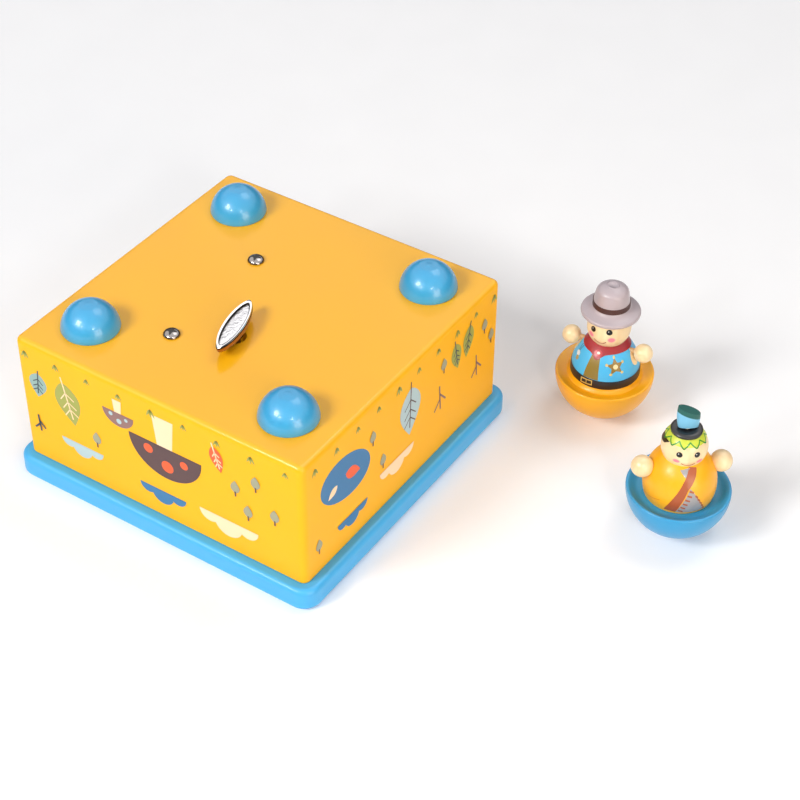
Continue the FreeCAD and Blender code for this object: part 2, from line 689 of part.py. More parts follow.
def build_cylinder():
    """The pinned brass cylinder on its arbor, with the pinion that the crown wheel drives and the great wheel."""
    radius = number(dim("cylinder_radius"))
    length = number(dim("cylinder_length"))
    tracks = int(number(dim("comb_teeth")))
    pitch = length / tracks
    bore = number(dim("cylinder_arbor_radius"))
    pin_reach = radius + number(dim("pin_height"))
    drum = Part.makeCylinder(radius, length).cut(Part.makeCylinder(bore, length))
    pins = []
    for track in range(tracks):
        for beat in range(4):
            angle = 47 * track + 90 * beat + 23 * ((track * beat) % 5)
            pin = Part.makeCylinder(number(dim("pin_radius")), pin_reach - 0.8 * radius,
                                    FreeCAD.Vector(0.8 * radius, 0, pitch * (track + 0.5)), X_AXIS)
            pin.rotate(FreeCAD.Vector(0, 0, 0), Z_AXIS, angle)
            pins.append(pin)
    pinned = solid("pinned_drum", drum.multiFuse(pins))
    place = FreeCAD.Vector(number(dim("key_x")), number(CYLINDER_FOOT), number(CYLINDER_AXIS))
    pinned.Placement = FreeCAD.Placement(place, ALONG_Y)
    piece("pinned_cylinder", pinned)

    near = f"({POST_NEAR} - 0.3 - dims.pinion_width)"
    far = f"({POST_FAR} + dims.post_thickness + 0.5)"
    piece("cylinder_arbor", rod("cylinder_bar", dim("cylinder_arbor_radius"), f"{far} - {near}",
                                (dim("key_x"), near, CYLINDER_AXIS), ALONG_Y))

    teeth = int(number(dim("pinion_teeth")))
    crown_mean = number("dims.crown_radius - dims.crown_tooth_length / 2")
    pitch_radius = crown_mean * teeth / number(dim("crown_teeth"))
    tooth_pitch = 2 * math.pi * pitch_radius / teeth
    tip = number(f"{CYLINDER_AXIS} - {CROWN_TOP} - 0.35 * dims.crown_tooth_height")
    outline = toothed_outline(teeth, 0.72 * tip, tip, 0.36 * tooth_pitch, 0.18 * tooth_pitch, math.pi / 2)
    width = number(dim("pinion_width"))
    pinion = Part.Face(Part.makePolygon(outline + outline[:1])).extrude(FreeCAD.Vector(0, 0, width))
    pinion = solid("pinion_solid", pinion.cut(Part.makeCylinder(bore, width)))
    pinion.Placement = FreeCAD.Placement(FreeCAD.Vector(place.x, number(near), place.z), ALONG_Y)
    piece("cylinder_pinion", pinion)

    great = spur_gear(int(number(dim("great_teeth"))), number(dim("great_module")), number(dim("wheel_width")), bore, 0)
    great = solid("great_wheel_solid", great)
    great.Placement = FreeCAD.Placement(FreeCAD.Vector(place.x, number(GREAT_FOOT), place.z), ALONG_Y)
    piece("great_wheel", great)


def build_comb():
    """The steel comb: a thick back with one tuned tooth for each track of pins, held by two screws."""
    back = block("comb_back", (dim("comb_base_length"), dim("cylinder_length"), dim("comb_base_thickness")),
                 (COMB_BACK, CYLINDER_FOOT, f"{CYLINDER_AXIS} + dims.comb_tooth_thickness / 2 - dims.comb_base_thickness"))
    tracks = int(number(dim("comb_teeth")))
    teeth = []
    for track in range(tracks):
        pitch = f"dims.cylinder_length / {tracks}"
        teeth.append(block(
            f"comb_tooth_{track}",
            (dim("comb_tooth_length"), f"{pitch} - dims.comb_slit", dim("comb_tooth_thickness")),
            (f"{COMB_TIP} - dims.comb_tooth_length", f"{CYLINDER_FOOT} + {track} * {pitch} + dims.comb_slit / 2",
             f"{CYLINDER_AXIS} - dims.comb_tooth_thickness / 2"),
        ))
    holes = []
    screws = []
    for index, place in enumerate(COMB_SCREWS):
        low = f"({CYLINDER_AXIS} + dims.comb_tooth_thickness / 2 - dims.comb_base_thickness)"
        holes.append(rod(f"comb_hole_{index}", dim("comb_screw_radius"), dim("comb_base_thickness"), (*place, low)))
        shank = rod(f"comb_shank_{index}", dim("comb_screw_radius"), f"dims.comb_base_thickness + {COMB_SCREW_BITE}",
                    (*place, low))
        head = rod(f"comb_head_{index}", dim("comb_screw_head_radius"), dim("comb_screw_head_height"),
                   (*place, f"{low} - dims.comb_screw_head_height"))
        screws.append(fuse(f"comb_screw_{index}", shank, head))
    piece("comb", cut("comb_drilled", fuse("comb_whole", back, *teeth), *holes))
    group = doc.addObject("Part::Compound", "comb_screw_group")
    group.Links = screws
    piece("comb_screws", group)


def build_governor():
    """The air-brake governor: a pinion and wheel geared up from the great wheel, then a pinion with fan blades."""
    great_teeth = int(number(dim("great_teeth")))
    first_teeth = int(number(dim("governor_pinion_teeth")))
    wheel_teeth = int(number(dim("governor_wheel_teeth")))
    fan_teeth = int(number(dim("fan_pinion_teeth")))
    module, fan_module = number(dim("great_module")), number(dim("fan_module"))
    cylinder = FreeCAD.Vector(number(dim("key_x")), 0, number(CYLINDER_AXIS))
    first = cylinder + FreeCAD.Vector(module * (great_teeth + first_teeth) / 2, 0, 0)
    fan = first - FreeCAD.Vector(0, 0, fan_module * (wheel_teeth + fan_teeth) / 2)
    width = number(dim("wheel_width"))
    bar = number(dim("governor_arbor_radius"))
    plate = number(dim("governor_plate"))
    great_foot = number(GREAT_FOOT)
    wheel_foot = great_foot + width + number(POST_GAP)
    far_plate = wheel_foot + width + number(POST_GAP)
    fan_length = number(dim("fan_length"))
    fan_foot = great_foot - number(POST_GAP) - fan_length
    near_plate = fan_foot - number(POST_GAP) - plate
    bed = number(BED_FACE)

    def along(name, shape, at, y):
        """A shape made about Z, laid along Y through a point of the movement."""
        laid = solid(name, shape)
        laid.Placement = FreeCAD.Placement(FreeCAD.Vector(at.x, y, at.z), ALONG_Y)
        return laid

    span = far_plate + plate - near_plate
    half_first = math.pi / first_teeth
    pinion = spur_gear(first_teeth, module, width, 0, math.pi + half_first)
    wheel = spur_gear(wheel_teeth, fan_module, width, 0, math.pi / 2)
    wheel.translate(FreeCAD.Vector(0, 0, wheel_foot - great_foot))
    shaft = Part.makeCylinder(bar, span, FreeCAD.Vector(0, 0, near_plate - great_foot))
    piece("governor_wheel", along("governor_wheel_solid", shaft.multiFuse([pinion, wheel]), first, great_foot))

    half_fan = math.pi / fan_teeth
    fan_gear = spur_gear(fan_teeth, fan_module, width, 0, -math.pi / 2 + half_fan)
    shaft = Part.makeCylinder(bar, span, FreeCAD.Vector(0, 0, near_plate - wheel_foot))
    piece("governor_arbor", along("fan_arbor_solid", shaft.fuse(fan_gear), fan, wheel_foot))
    blade = number(dim("fan_blade"))
    reach = number(dim("fan_radius"))
    blades = Part.makeBox(2 * reach, blade, fan_length, FreeCAD.Vector(-reach, -blade / 2, 0))
    hub = Part.makeCylinder(2 * bar, fan_length)
    vane = blades.fuse(hub).cut(Part.makeCylinder(bar, fan_length))
    piece("governor_fan", along("governor_fan_solid", vane, fan, fan_foot))

    across = number(dim("governor_plate_width"))
    low = fan.z - 2.5 * bar
    left = first.x - 2 * bar
    clear = number(dim("running_clearance"))
    cheeks = []
    for y in (near_plate, far_plate):
        cheek = Part.makeBox(across, plate, bed - low, FreeCAD.Vector(left, y, low))
        for axis in (first, fan):
            hole = Part.makeCylinder(bar + clear, plate, FreeCAD.Vector(axis.x, y, axis.z), Y_AXIS)
            cheek = cheek.cut(hole)
        cheeks.append(cheek)
    bridge = Part.makeBox(across, span, plate, FreeCAD.Vector(left, near_plate, bed - plate))
    piece("governor_frame", solid("governor_frame_solid", bridge.multiFuse(cheeks)))


def build_figure(who):
    """A dancing figure's shared pieces: weighted half-ball base with its magnet, dowel, body, head and hands."""
    x, y = dim(f"{who}_x"), dim(f"{who}_y")
    rim = dim("base_radius")
    bowl = primitive("Sphere", f"{who}_bowl", {"Radius": rim, "Angle2": "0"}, (x, y, rim))
    dish = egg(f"{who}_dish", dim(f"{who}_dish_depth"), "dims.base_radius - dims.base_rim", (x, y, rim))
    well_height = "dims.base_radius - dims.base_magnet_floor"
    well = rod(f"{who}_well", dim("base_magnet_radius"), well_height, (x, y, dim("base_magnet_floor")))
    piece(f"{who}_base", cut(f"{who}_base_bored", bowl, dish, well))
    piece(f"{who}_magnet", rod(f"{who}_magnet_disc", dim("base_magnet_radius"), dim("base_magnet_height"),
                               (x, y, dim("base_magnet_floor"))))
    dowel_foot = "(dims.base_magnet_floor + dims.base_magnet_height)"
    dowel_top = "(dims.base_radius + dims.body_dowel_depth)"
    piece(f"{who}_dowel", rod(f"{who}_dowel_bar", dim("base_magnet_radius"), f"{dowel_top} - {dowel_foot}",
                              (x, y, dowel_foot)))
    centre = dim(f"{who}_body_centre")
    whole = egg(f"{who}_egg", dim(f"{who}_body_rise"), dim("body_radius"), (x, y, centre))
    sunk = egg(f"{who}_seat", dim(f"{who}_dish_depth"), "dims.base_radius - dims.base_rim", (x, y, rim))
    low = block(f"{who}_below", ("2 * dims.base_radius", "2 * dims.base_radius", rim),
                (f"{x} - dims.base_radius", f"{y} - dims.base_radius", "0"))
    below = cut(f"{who}_under", low, sunk)
    head_at = (x, y, dim(f"{who}_head_height"))
    nape = ball(f"{who}_nape", dim("head_radius"), head_at)
    bore = rod(f"{who}_bore", dim("base_magnet_radius"), dowel_top, (x, y, "0"))
    neck_low = f"(dims.{who}_head_height - dims.head_radius - dims.neck_dowel_depth)"
    neck = ("dims.neck_dowel_radius", "2 * dims.neck_dowel_depth", (x, y, neck_low))
    facing = number(dim(f"{who}_facing"))
    shoulders = FreeCAD.Rotation(Z_AXIS, facing)
    hands, pegs, sockets, palms = [], [], [], []
    for side, sign in (("left", 1), ("right", -1)):
        reach = f"({sign}) * dims.hand_reach"
        level = dim(f"{who}_hand_height")
        at = (f"{x} + {reach} * cos(dims.{who}_facing)", f"{y} + {reach} * sin(dims.{who}_facing)", level)
        inward = shoulders.multiply(FreeCAD.Rotation(Y_AXIS, -90 * sign))
        palms.append((side, at))
        for group, name in ((pegs, "peg"), (sockets, "socket")):
            group.append(rod(f"{who}_{name}_{side}", dim("arm_peg_radius"),
                             f"dims.{who}_hand_radius + dims.arm_peg_depth", at, inward))
    body = cut(f"{who}_trunk", whole, below, nape, bore, rod(f"{who}_neck_bore", *neck), *sockets)
    palm_cuts = [ball(f"{who}_palm_cut_{side}", dim(f"{who}_hand_radius"), at) for side, at in palms]
    piece(f"{who}_body", cut(f"{who}_palmed", body, *palm_cuts))
    head = cut(f"{who}_ball", ball(f"{who}_head_ball", dim("head_radius"), head_at), rod(f"{who}_head_bore", *neck))
    for (side, at), socket in zip(palms, sockets):
        hands.append(cut(f"{who}_fist_{side}", ball(f"{who}_hand_{side}", dim(f"{who}_hand_radius"), at), socket))
    piece(f"{who}_neck_dowel", rod(f"{who}_neck_bar", *neck))
    for suffix, members in (("hands", hands), ("arm_pegs", pegs)):
        group = doc.addObject("Part::Compound", f"{who}_{suffix}_group")
        group.Links = members
        piece(f"{who}_{suffix}", group)
    return head, head_at


def build_rider():
    """The figure in a broad-brimmed hat: a turned hat with a band sits on the crown of its head."""
    head, at = build_figure("rider")
    piece("rider_head", head)
    x, y = at[:2]
    brim_foot = dim("hat_brim_height")
    brim_top = f"({brim_foot} + dims.hat_brim_thickness)"
    brim = rod("hat_brim", dim("hat_brim_radius"), dim("hat_brim_thickness"), (x, y, brim_foot))
    slope = primitive(
        "Cone",
        "hat_slope",
        {"Radius1": "dims.hat_brim_radius - 0.3 * dims.hat_brim_thickness", "Radius2": dim("hat_slope_radius"),
         "Height": dim("hat_slope_height")},
        (x, y, brim_top),
    )
    slope_top = f"({brim_top} + dims.hat_slope_height)"
    crown = primitive(
        "Cone",
        "hat_crown",
        {"Radius1": dim("hat_crown_radius"), "Radius2": dim("hat_crown_top_radius"), "Height": dim("hat_crown_height")},
        (x, y, slope_top),
    )
    crown_top = f"({slope_top} + dims.hat_crown_height)"
    dome = egg("hat_dome_egg", dim("hat_dome"), dim("hat_crown_top_radius"), (x, y, crown_top))
    under = ball("hat_seat", dim("head_radius"), at)
    band_foot = f"({slope_top} + 0.2 * dims.hat_band_height)"
    groove = rod("band_groove", "dims.hat_crown_radius + dims.hat_band_proud", dim("hat_band_height"), (x, y, band_foot))
    band_core = rod("band_core", "dims.hat_crown_top_radius", dim("hat_band_height"), (x, y, band_foot))
    ring = cut("band_ring", groove, band_core)
    piece("rider_hat", cut("hat_turned", fuse("hat_blank", brim, slope, crown, dome), under, ring))
    piece("rider_hat_band", cut("band_made", rod("band_outer", "dims.hat_crown_radius + dims.hat_band_proud",
                                                 dim("hat_band_height"), (x, y, band_foot)), band_core))


def build_scout():
    """The figure with a headband: a cap of hair, a band round the head and a small carved plume."""
    head, at = build_figure("scout")
    x, y, level = at
    hair_level = f"({level} + sqrt(dims.head_radius ^ 2 - dims.hair_radius ^ 2))"
    band_low = f"({hair_level} - dims.band_height)"
    shells = {}
    for name, proud, low, tall in (
        ("hair", dim("hair_thickness"), hair_level, dim("head_radius")),
        ("band", dim("band_proud"), band_low, dim("band_height")),
    ):
        outer = ball(f"scout_{name}_outer", f"dims.head_radius + {proud}", at)
        slab = rod(f"scout_{name}_slab", "2 * dims.head_radius", tall, (x, y, low))
        shells[name] = cut(f"scout_{name}_shell", common(f"scout_{name}_zone", outer, slab),
                           ball(f"scout_{name}_inner", dim("head_radius"), at))
    piece("scout_headband", shells["band"])
    facing = FreeCAD.Rotation(Z_AXIS, number(dim("scout_facing")))
    lean = facing.multiply(FreeCAD.Rotation(Y_AXIS, -number(dim("plume_lean"))))
    plume_at = (x, y, f"{level} + dims.head_radius + dims.plume_centre")
    plume = egg("plume_egg", dim("plume_rise"), dim("plume_width"), plume_at, dim("plume_depth"), lean)
    seat = ball("plume_seat", "dims.head_radius + dims.hair_thickness", at)
    slant = facing.multiply(FreeCAD.Rotation(Y_AXIS, number(dim("plume_slant"))))
    trim_half = "2 * dims.plume_rise"
    corner = slant.multVec(FreeCAD.Vector(-number(trim_half), -number(trim_half), 0))
    trim = block("plume_trim", (f"2 * {trim_half}", f"2 * {trim_half}", dim("plume_rise")),
                 (f"{x} + {corner.x}", f"{y} + {corner.y}",
                  f"{level} + dims.head_radius + dims.plume_height + {corner.z}"), slant)
    below = block("plume_root", (f"2 * {trim_half}", f"2 * {trim_half}", "2 * dims.plume_rise"),
                  (f"{x} - {trim_half}", f"{y} - {trim_half}", f"{level} + dims.head_radius - 2 * dims.plume_rise"))
    piece("scout_plume", cut("plume_carved", plume, seat, trim, below))
    piece("scout_hair", shells["hair"])
    piece("scout_head", head)


build_case()
build_feet()
build_winding()
build_rotor()
build_movement_frame()
build_cylinder()
build_comb()
build_governor()
build_rider()
build_scout()
doc.recompute()

# Checks, then one STEP file for each sub-part
failed = [o.Name for o in doc.Objects if "Invalid" in o.State or "Error" in o.State]
if failed:
    raise SystemExit(f"these objects failed: {failed}")
for made in pieces:
    if made.Shape.isNull() or not made.Shape.isValid() or not made.Shape.Solids:
        raise SystemExit(f"{made.Label} has no valid solid")
os.makedirs("parts", exist_ok=True)
for made in pieces:
    made.Shape.exportStep(os.path.join("parts", made.Label + ".step"))
    print(f"{made.Label}: {len(made.Shape.Solids)} solid(s), {made.Shape.Volume:.1f} mm3")
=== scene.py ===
import math

import bpy
from mathutils import Matrix, Vector
from mathutils.geometry import delaunay_2d_cdt


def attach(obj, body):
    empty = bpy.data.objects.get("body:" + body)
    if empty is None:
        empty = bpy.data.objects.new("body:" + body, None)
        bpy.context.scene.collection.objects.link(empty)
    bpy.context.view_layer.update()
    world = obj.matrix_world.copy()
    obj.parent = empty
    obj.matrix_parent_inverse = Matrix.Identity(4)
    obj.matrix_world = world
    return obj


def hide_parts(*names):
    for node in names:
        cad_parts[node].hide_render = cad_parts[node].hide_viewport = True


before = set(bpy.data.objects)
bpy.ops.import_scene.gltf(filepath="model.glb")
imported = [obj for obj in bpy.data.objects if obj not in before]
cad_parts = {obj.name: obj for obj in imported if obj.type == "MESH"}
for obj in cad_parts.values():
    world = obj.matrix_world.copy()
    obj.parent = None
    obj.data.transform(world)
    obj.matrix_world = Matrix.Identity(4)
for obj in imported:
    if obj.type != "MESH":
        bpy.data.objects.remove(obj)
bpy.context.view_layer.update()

# The stage plate is a square of plywood with rounded corners, spray painted light blue.
# It is glued to the rims of the four walls, and the box lies on it in the photo.
STAGE_BLUE = (66, 174, 234)
CLOUD_SCALE, CLOUD_DETAIL = 55, 4
PEEL_SCALE, PEEL_DETAIL, PEEL_HEIGHT = 900, 2, 0.0002
TONE_LOW, TONE_HIGH = 0.955, 1.03
SHEEN_SPREAD = 0.12
COAT_ROUGHNESS = 0.1


def node_group(name, inputs, outputs, kind="ShaderNodeTree"):
    """An empty node group with its named sockets, each given as a name and a kind."""
    group = bpy.data.node_groups.new(name, kind)
    for direction, sockets in (("INPUT", inputs), ("OUTPUT", outputs)):
        for socket_name, socket_kind in sockets.items():
            group.interface.new_socket(socket_name, in_out=direction, socket_type=f"NodeSocket{socket_kind}")
    return group


def preset(node, values):
    """Sets the unlinked inputs of a node, given by name or number."""
    for socket, value in values.items():
        node.inputs[socket].default_value = value


def join(tree, *links):
    """Links nodes of a tree: each link is a node, its output, the next node and its input."""
    for start, output, end, socket in links:
        tree.links.new(start.outputs[output], end.inputs[socket])


skin_group = node_group(
    "paint_skin",
    {"Color": "Color", "Vector": "Vector", "Roughness": "Float", "Relief": "Float"},
    {"Color": "Color", "Roughness": "Float", "Normal": "Vector"},
)
skin = skin_group.nodes
skin_in = skin.new("NodeGroupInput")
skin_out = skin.new("NodeGroupOutput")
clouding = skin.new("ShaderNodeTexNoise")
peel = skin.new("ShaderNodeTexNoise")
tone = skin.new("ShaderNodeMapRange")
shaded = skin.new("ShaderNodeHueSaturation")
sheen_spread = skin.new("ShaderNodeMath")
sheen_spread.operation = "MULTIPLY_ADD"
relief = skin.new("ShaderNodeBump")
preset(clouding, {"Scale": CLOUD_SCALE, "Detail": CLOUD_DETAIL})
preset(peel, {"Scale": PEEL_SCALE, "Detail": PEEL_DETAIL})
preset(tone, {"To Min": TONE_LOW, "To Max": TONE_HIGH})
preset(sheen_spread, {1: SHEEN_SPREAD})
preset(relief, {"Distance": PEEL_HEIGHT})
join(
    skin_group,
    (skin_in, "Vector", clouding, "Vector"),
    (skin_in, "Vector", peel, "Vector"),
    (clouding, "Fac", tone, "Value"),
    (skin_in, "Color", shaded, "Color"),
    (tone, "Result", shaded, "Value"),
    (shaded, "Color", skin_out, "Color"),
    (clouding, "Fac", sheen_spread, 0),
    (skin_in, "Roughness", sheen_spread, 2),
    (sheen_spread, 0, skin_out, "Roughness"),
    (peel, "Fac", relief, "Height"),
    (skin_in, "Relief", relief, "Strength"),
    (relief, "Normal", skin_out, "Normal"),
)


def srgb(red, green, blue):
    """A colour given as 0 to 255 screen values, in linear light."""
    channels = (red, green, blue)
    return tuple(((c / 255 + 0.055) / 1.055) ** 2.4 if c > 10 else c / 3295 for c in channels) + (1,)


def new_material(name, group):
    """A material with its shader, its texture coordinates and one of the node groups."""
    material = bpy.data.materials.new(name)
    material.use_nodes = True
    tree = material.node_tree
    where = tree.nodes.new("ShaderNodeTexCoord")
    surface = tree.nodes.new("ShaderNodeGroup")
    surface.node_tree = group
    join(tree, (where, "Object", surface, "Vector"))
    return material, tree, tree.nodes["Principled BSDF"], where, surface


def painted(name, colour, roughness=0.38, relief=0.12, coat=0.15, ink=None, second=None, split=None):
    """Paint over wood with clouded tone and fine peel.

    ink names a colour attribute that takes the colour's place. split is a direction, a distance along it in
    metres and the width of a change: beyond it the paint takes the second colour, or gets its clear coat.
    """
    material, tree, shader, where, surface = new_material(name, skin_group)
    preset(surface, {"Color": colour, "Roughness": roughness, "Relief": relief})
    preset(shader, {"Coat Weight": coat, "Coat Roughness": COAT_ROUGHNESS})
    if ink:
        printed = tree.nodes.new("ShaderNodeAttribute")
        printed.attribute_name = ink
        join(tree, (printed, "Color", surface, "Color"))
    if split:
        direction, distance, width = split
        along = tree.nodes.new("ShaderNodeVectorMath")
        along.operation = "DOT_PRODUCT"
        beyond = tree.nodes.new("ShaderNodeMapRange")
        preset(along, {1: direction})
        preset(beyond, {"From Min": distance, "From Max": distance + width})
        join(tree, (where, "Object", along, 0), (along, "Value", beyond, "Value"))
        if second:
            mixed = tree.nodes.new("ShaderNodeMix")
            mixed.data_type = "RGBA"
            preset(mixed, {"A": colour, "B": second})
            join(tree, (beyond, "Result", mixed, "Factor"), (mixed, "Result", surface, "Color"))
        else:
            preset(beyond, {"To Max": coat})
            join(tree, (beyond, "Result", shader, "Coat Weight"))
    join(
        tree,
        (surface, "Color", shader, "Base Color"),
        (surface, "Roughness", shader, "Roughness"),
        (surface, "Normal", shader, "Normal"),
    )
    return material


def dress(material, *nodes):
    """Gives CAD nodes their material."""
    for node in nodes:
        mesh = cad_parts[node].data
        mesh.materials.clear()
        mesh.materials.append(material)


dress(painted("stage_blue", srgb(*STAGE_BLUE), 0.36), "stage_plate")

# The walls are four mitred boards and the bottom panel is let in between them, all sprayed warm yellow.
# The paint bridges the joints, so only the softened outer edges show. The panel alone has a clear coat,
# which starts at a height given in metres.
BOX_YELLOW = (254, 184, 8)
PANEL_COAT_FROM, PANEL_COAT_FADE = 0.0486, 0.001
WALL_SHINE = 0.3
panel_coat = ((0, 0, 1), PANEL_COAT_FROM, PANEL_COAT_FADE)
box_yellow = painted("box_yellow", srgb(*BOX_YELLOW), 0.4, 0.08, 0.6, split=panel_coat)
preset(box_yellow.node_tree.nodes["Principled BSDF"], {"Specular IOR Level": WALL_SHINE})
dress(box_yellow, "front_wall", "right_wall", "back_wall", "left_wall", "bottom_panel")

# The prints are flat ink shapes screened on the walls: leaves, toadstools, clouds, twigs and seeds.
# They stand the right way up when the box stands on its feet, so they are upside down here.
# Shapes are drawn in millimetres: u runs along a wall from its middle and v down from the panel.
PER_METRE = 1000
WALL_FACE, PANEL_TOP = 49.5, 50.0
WALL_TURN = {"front": 0, "right": 90, "back": 180, "left": 270}
INK_LIFT, INK_LAYER = 0.03, 0.008
CLEAR_OF_EDGE = 0.55
INK_SCREENS = {
    "brown": (82, 56, 58), "olive": (160, 164, 74), "pale": (176, 200, 205), "blue": (44, 116, 168),
    "cream": (254, 222, 180), "orange": (238, 92, 40), "slate": (52, 66, 78), "mauve": (140, 104, 100),
    "grey": (158, 158, 130), "teal": (140, 172, 168),
}
INK = {name: srgb(*screen) for name, screen in INK_SCREENS.items()}


def put(name, data):
    """Puts a new object with this data in the scene."""
    made = bpy.data.objects.new(name, data)
    bpy.context.collection.objects.link(made)
    return made


def add_piece(made, body, material, replaced=()):
    """Finishes a piece: its material, the body it rides on and the CAD nodes it stands for."""
    made.data.materials.append(material)
    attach(made, body)
    if replaced:
        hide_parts(*replaced)


def cut_up(outline, step):
    """An outline's points and then points inside it, about a step apart; and how many are on the outline."""
    flat = [Vector(p) for p in outline]
    if not step:
        return flat, len(flat)
    dense = []
    for a, b in zip(flat, flat[1:] + flat[:1]):
        count = max(1, int((b - a).length / step))
        dense += [a.lerp(b, k / count) for k in range(count)]
    edge_count = len(dense)
    low_u, high_u = min(p.x for p in dense), max(p.x for p in dense)
    low_v, high_v = min(p.y for p in dense), max(p.y for p in dense)
    for column in range(1, int((high_u - low_u) / step)):
        for line in range(1, int((high_v - low_v) / step)):
            spot = Vector((low_u + column * step, low_v + line * step))
            if min((spot - q).length for q in dense[:edge_count]) > CLEAR_OF_EDGE * step:
                dense.append(spot)
    return dense, edge_count


def inked(name, shapes, place, step=None):
    """One mesh of filled outlines, each laid by place(u, v, lift) and coloured by the attribute ink.

    With a step the outlines are cut up, so that they bend with a round surface.
    """
    points, faces, colours = [], [], []
    layer, last = -1, None
    for outline, colour in shapes:
        layer, last = layer + (colour != last), colour
        dense, edge_count = cut_up(outline, step)
        spots, _, tris, *_ = delaunay_2d_cdt(dense, [], [list(range(edge_count))], 1, 1e-6)
        base = len(points)
        points += [place(p.x, p.y, INK_LIFT + INK_LAYER * layer) for p in spots]
        outward = place(spots[0].x, spots[0].y, 1.0) - place(spots[0].x, spots[0].y, 0.0)
        for tri in tris:
            a, b, c = (points[base + k] for k in tri)
            order = tri if (b - a).cross(c - a).dot(outward) > 0 else tri[::-1]
            faces.append([base + k for k in order])
        colours += [colour] * len(tris)
    mesh = bpy.data.meshes.new(name)
    mesh.from_pydata([p / PER_METRE for p in points], [], faces)
    ink = mesh.color_attributes.new("ink", "FLOAT_COLOR", "CORNER")
    for face, colour in zip(mesh.polygons, colours):
        face.use_smooth = bool(step)
        for corner in face.loop_indices:
            ink.data[corner].color = colour
    return put(name, mesh)


def set_at(u, v, turn):
    """A function that turns a shape's own points and moves them to a spot."""
    c, s = math.cos(math.radians(turn)), math.sin(math.radians(turn))
    return lambda x, y: (u + x * c - y * s, v + x * s + y * c)


def spread(start, end, count):
    """Evenly spaced angles from start to end, given in degrees."""
    return [math.radians(start + (end - start) * k / count) for k in range(count + 1)]


def oval(u, v, wide, tall, turn=0.0, start=0, end=360, count=40):
    """An ellipse or a slice of one; wide and tall are its half axes."""
    at = set_at(u, v, turn)
    angles = spread(start, end, count)
    if end - start == 360:
        angles = angles[:-1]
    return [at(wide * math.cos(a), tall * math.sin(a)) for a in angles]


def leaf(u, v, length, wide, turn, count=14):
    """A pointed leaf that grows from its stalk end in the direction of turn."""
    at = set_at(u, v, turn)
    rim = [(length * k / count, wide * math.sin(math.pi * (k / count) ** 0.8)) for k in range(count + 1)]
    return [at(x, y) for x, y in rim + [(x, -y) for x, y in rim[-2:0:-1]]]


def stroke(points, wide):
    """A line of even width through points."""
    left, right = [], []
    for k, p in enumerate(points):
        a, b = Vector(points[max(k - 1, 0)]), Vector(points[min(k + 1, len(points) - 1)])
        side = (b - a).normalized().orthogonal() * wide / 2
        left.append(tuple(Vector(p) + side))
        right.append(tuple(Vector(p) - side))
    return left + right[::-1]


def toadstool(u, v, size, cap, stem, spot):
    """A cap on a stem with three spots."""
    foot, neck, gills = 0.16 * size, 0.11 * size, v + 0.5 * size
    parts = [([(u - foot, v), (u + foot, v), (u + neck, gills), (u - neck, gills)], stem)]
    parts.append((oval(u, v + 0.45 * size, 0.55 * size, 0.5 * size, 0, 0, 180), cap))
    for du, dv, r in ((-0.26, 0.58, 0.07), (0.02, 0.75, 0.09), (0.28, 0.6, 0.06)):
        parts.append((oval(u + du * size, v + dv * size, r * size, r * size), spot))
    return parts


def veined(u, v, length, wide, turn, body, vein):
    """A leaf with a midrib and three pairs of side veins."""
    at = set_at(u, v, turn)
    midrib = stroke([at(-0.12 * length, 0), at(0.85 * length, 0)], 0.45)
    parts = [(leaf(u, v, length, wide, turn), body), (midrib, vein)]
    for share in (0.25, 0.45, 0.62):
        for side in (-1, 1):
            tip = at((share + 0.16) * length, side * 0.55 * wide)
            parts.append((stroke([at(share * length, 0), tip], 0.35), vein))
    return parts


def cloud(u, v, wide):
    """A flat-based cloud with three puffs."""
    rim = []
    for x, y, r, start, end in (
        (-0.62, 0.0, 0.34, 180, 45), (-0.02, 0.12, 0.46, 160, 20), (0.62, 0.0, 0.34, 135, 0),
    ):
        angles = spread(start, end, 10)
        rim += [(u + wide * (x + r * math.cos(a)), v + wide * (y + r * math.sin(a))) for a in angles]
    return rim


def seeds(size, *spots):
    """Small seeds, each with a stalk."""
    parts = []
    for u, v in spots:
        parts.append((leaf(u, v + size, size, 0.33 * size, -90), "grey"))
        parts.append((stroke([(u, v + 0.85 * size), (u, v + 1.25 * size)], 0.5), "brown"))
    return parts


def twig(u, v, size, colour):
    """A forked twig."""
    at = lambda x, y: (u + x * size, v + y * size)
    lines = (((0, 0), (0.08, 1.0)), ((0.03, 0.35), (0.38, 0.75)), ((0.05, 0.55), (-0.28, 0.9)))
    return [(stroke([at(*a), at(*b)], 0.6), colour) for a, b in lines]


def on_wall(turn):
    """A place function for ink on the wall at this turn round the box."""
    around = Matrix.Rotation(math.radians(turn), 3, "Z")
    return lambda u, v, lift: around @ Vector((u, -WALL_FACE - lift, PANEL_TOP - v))


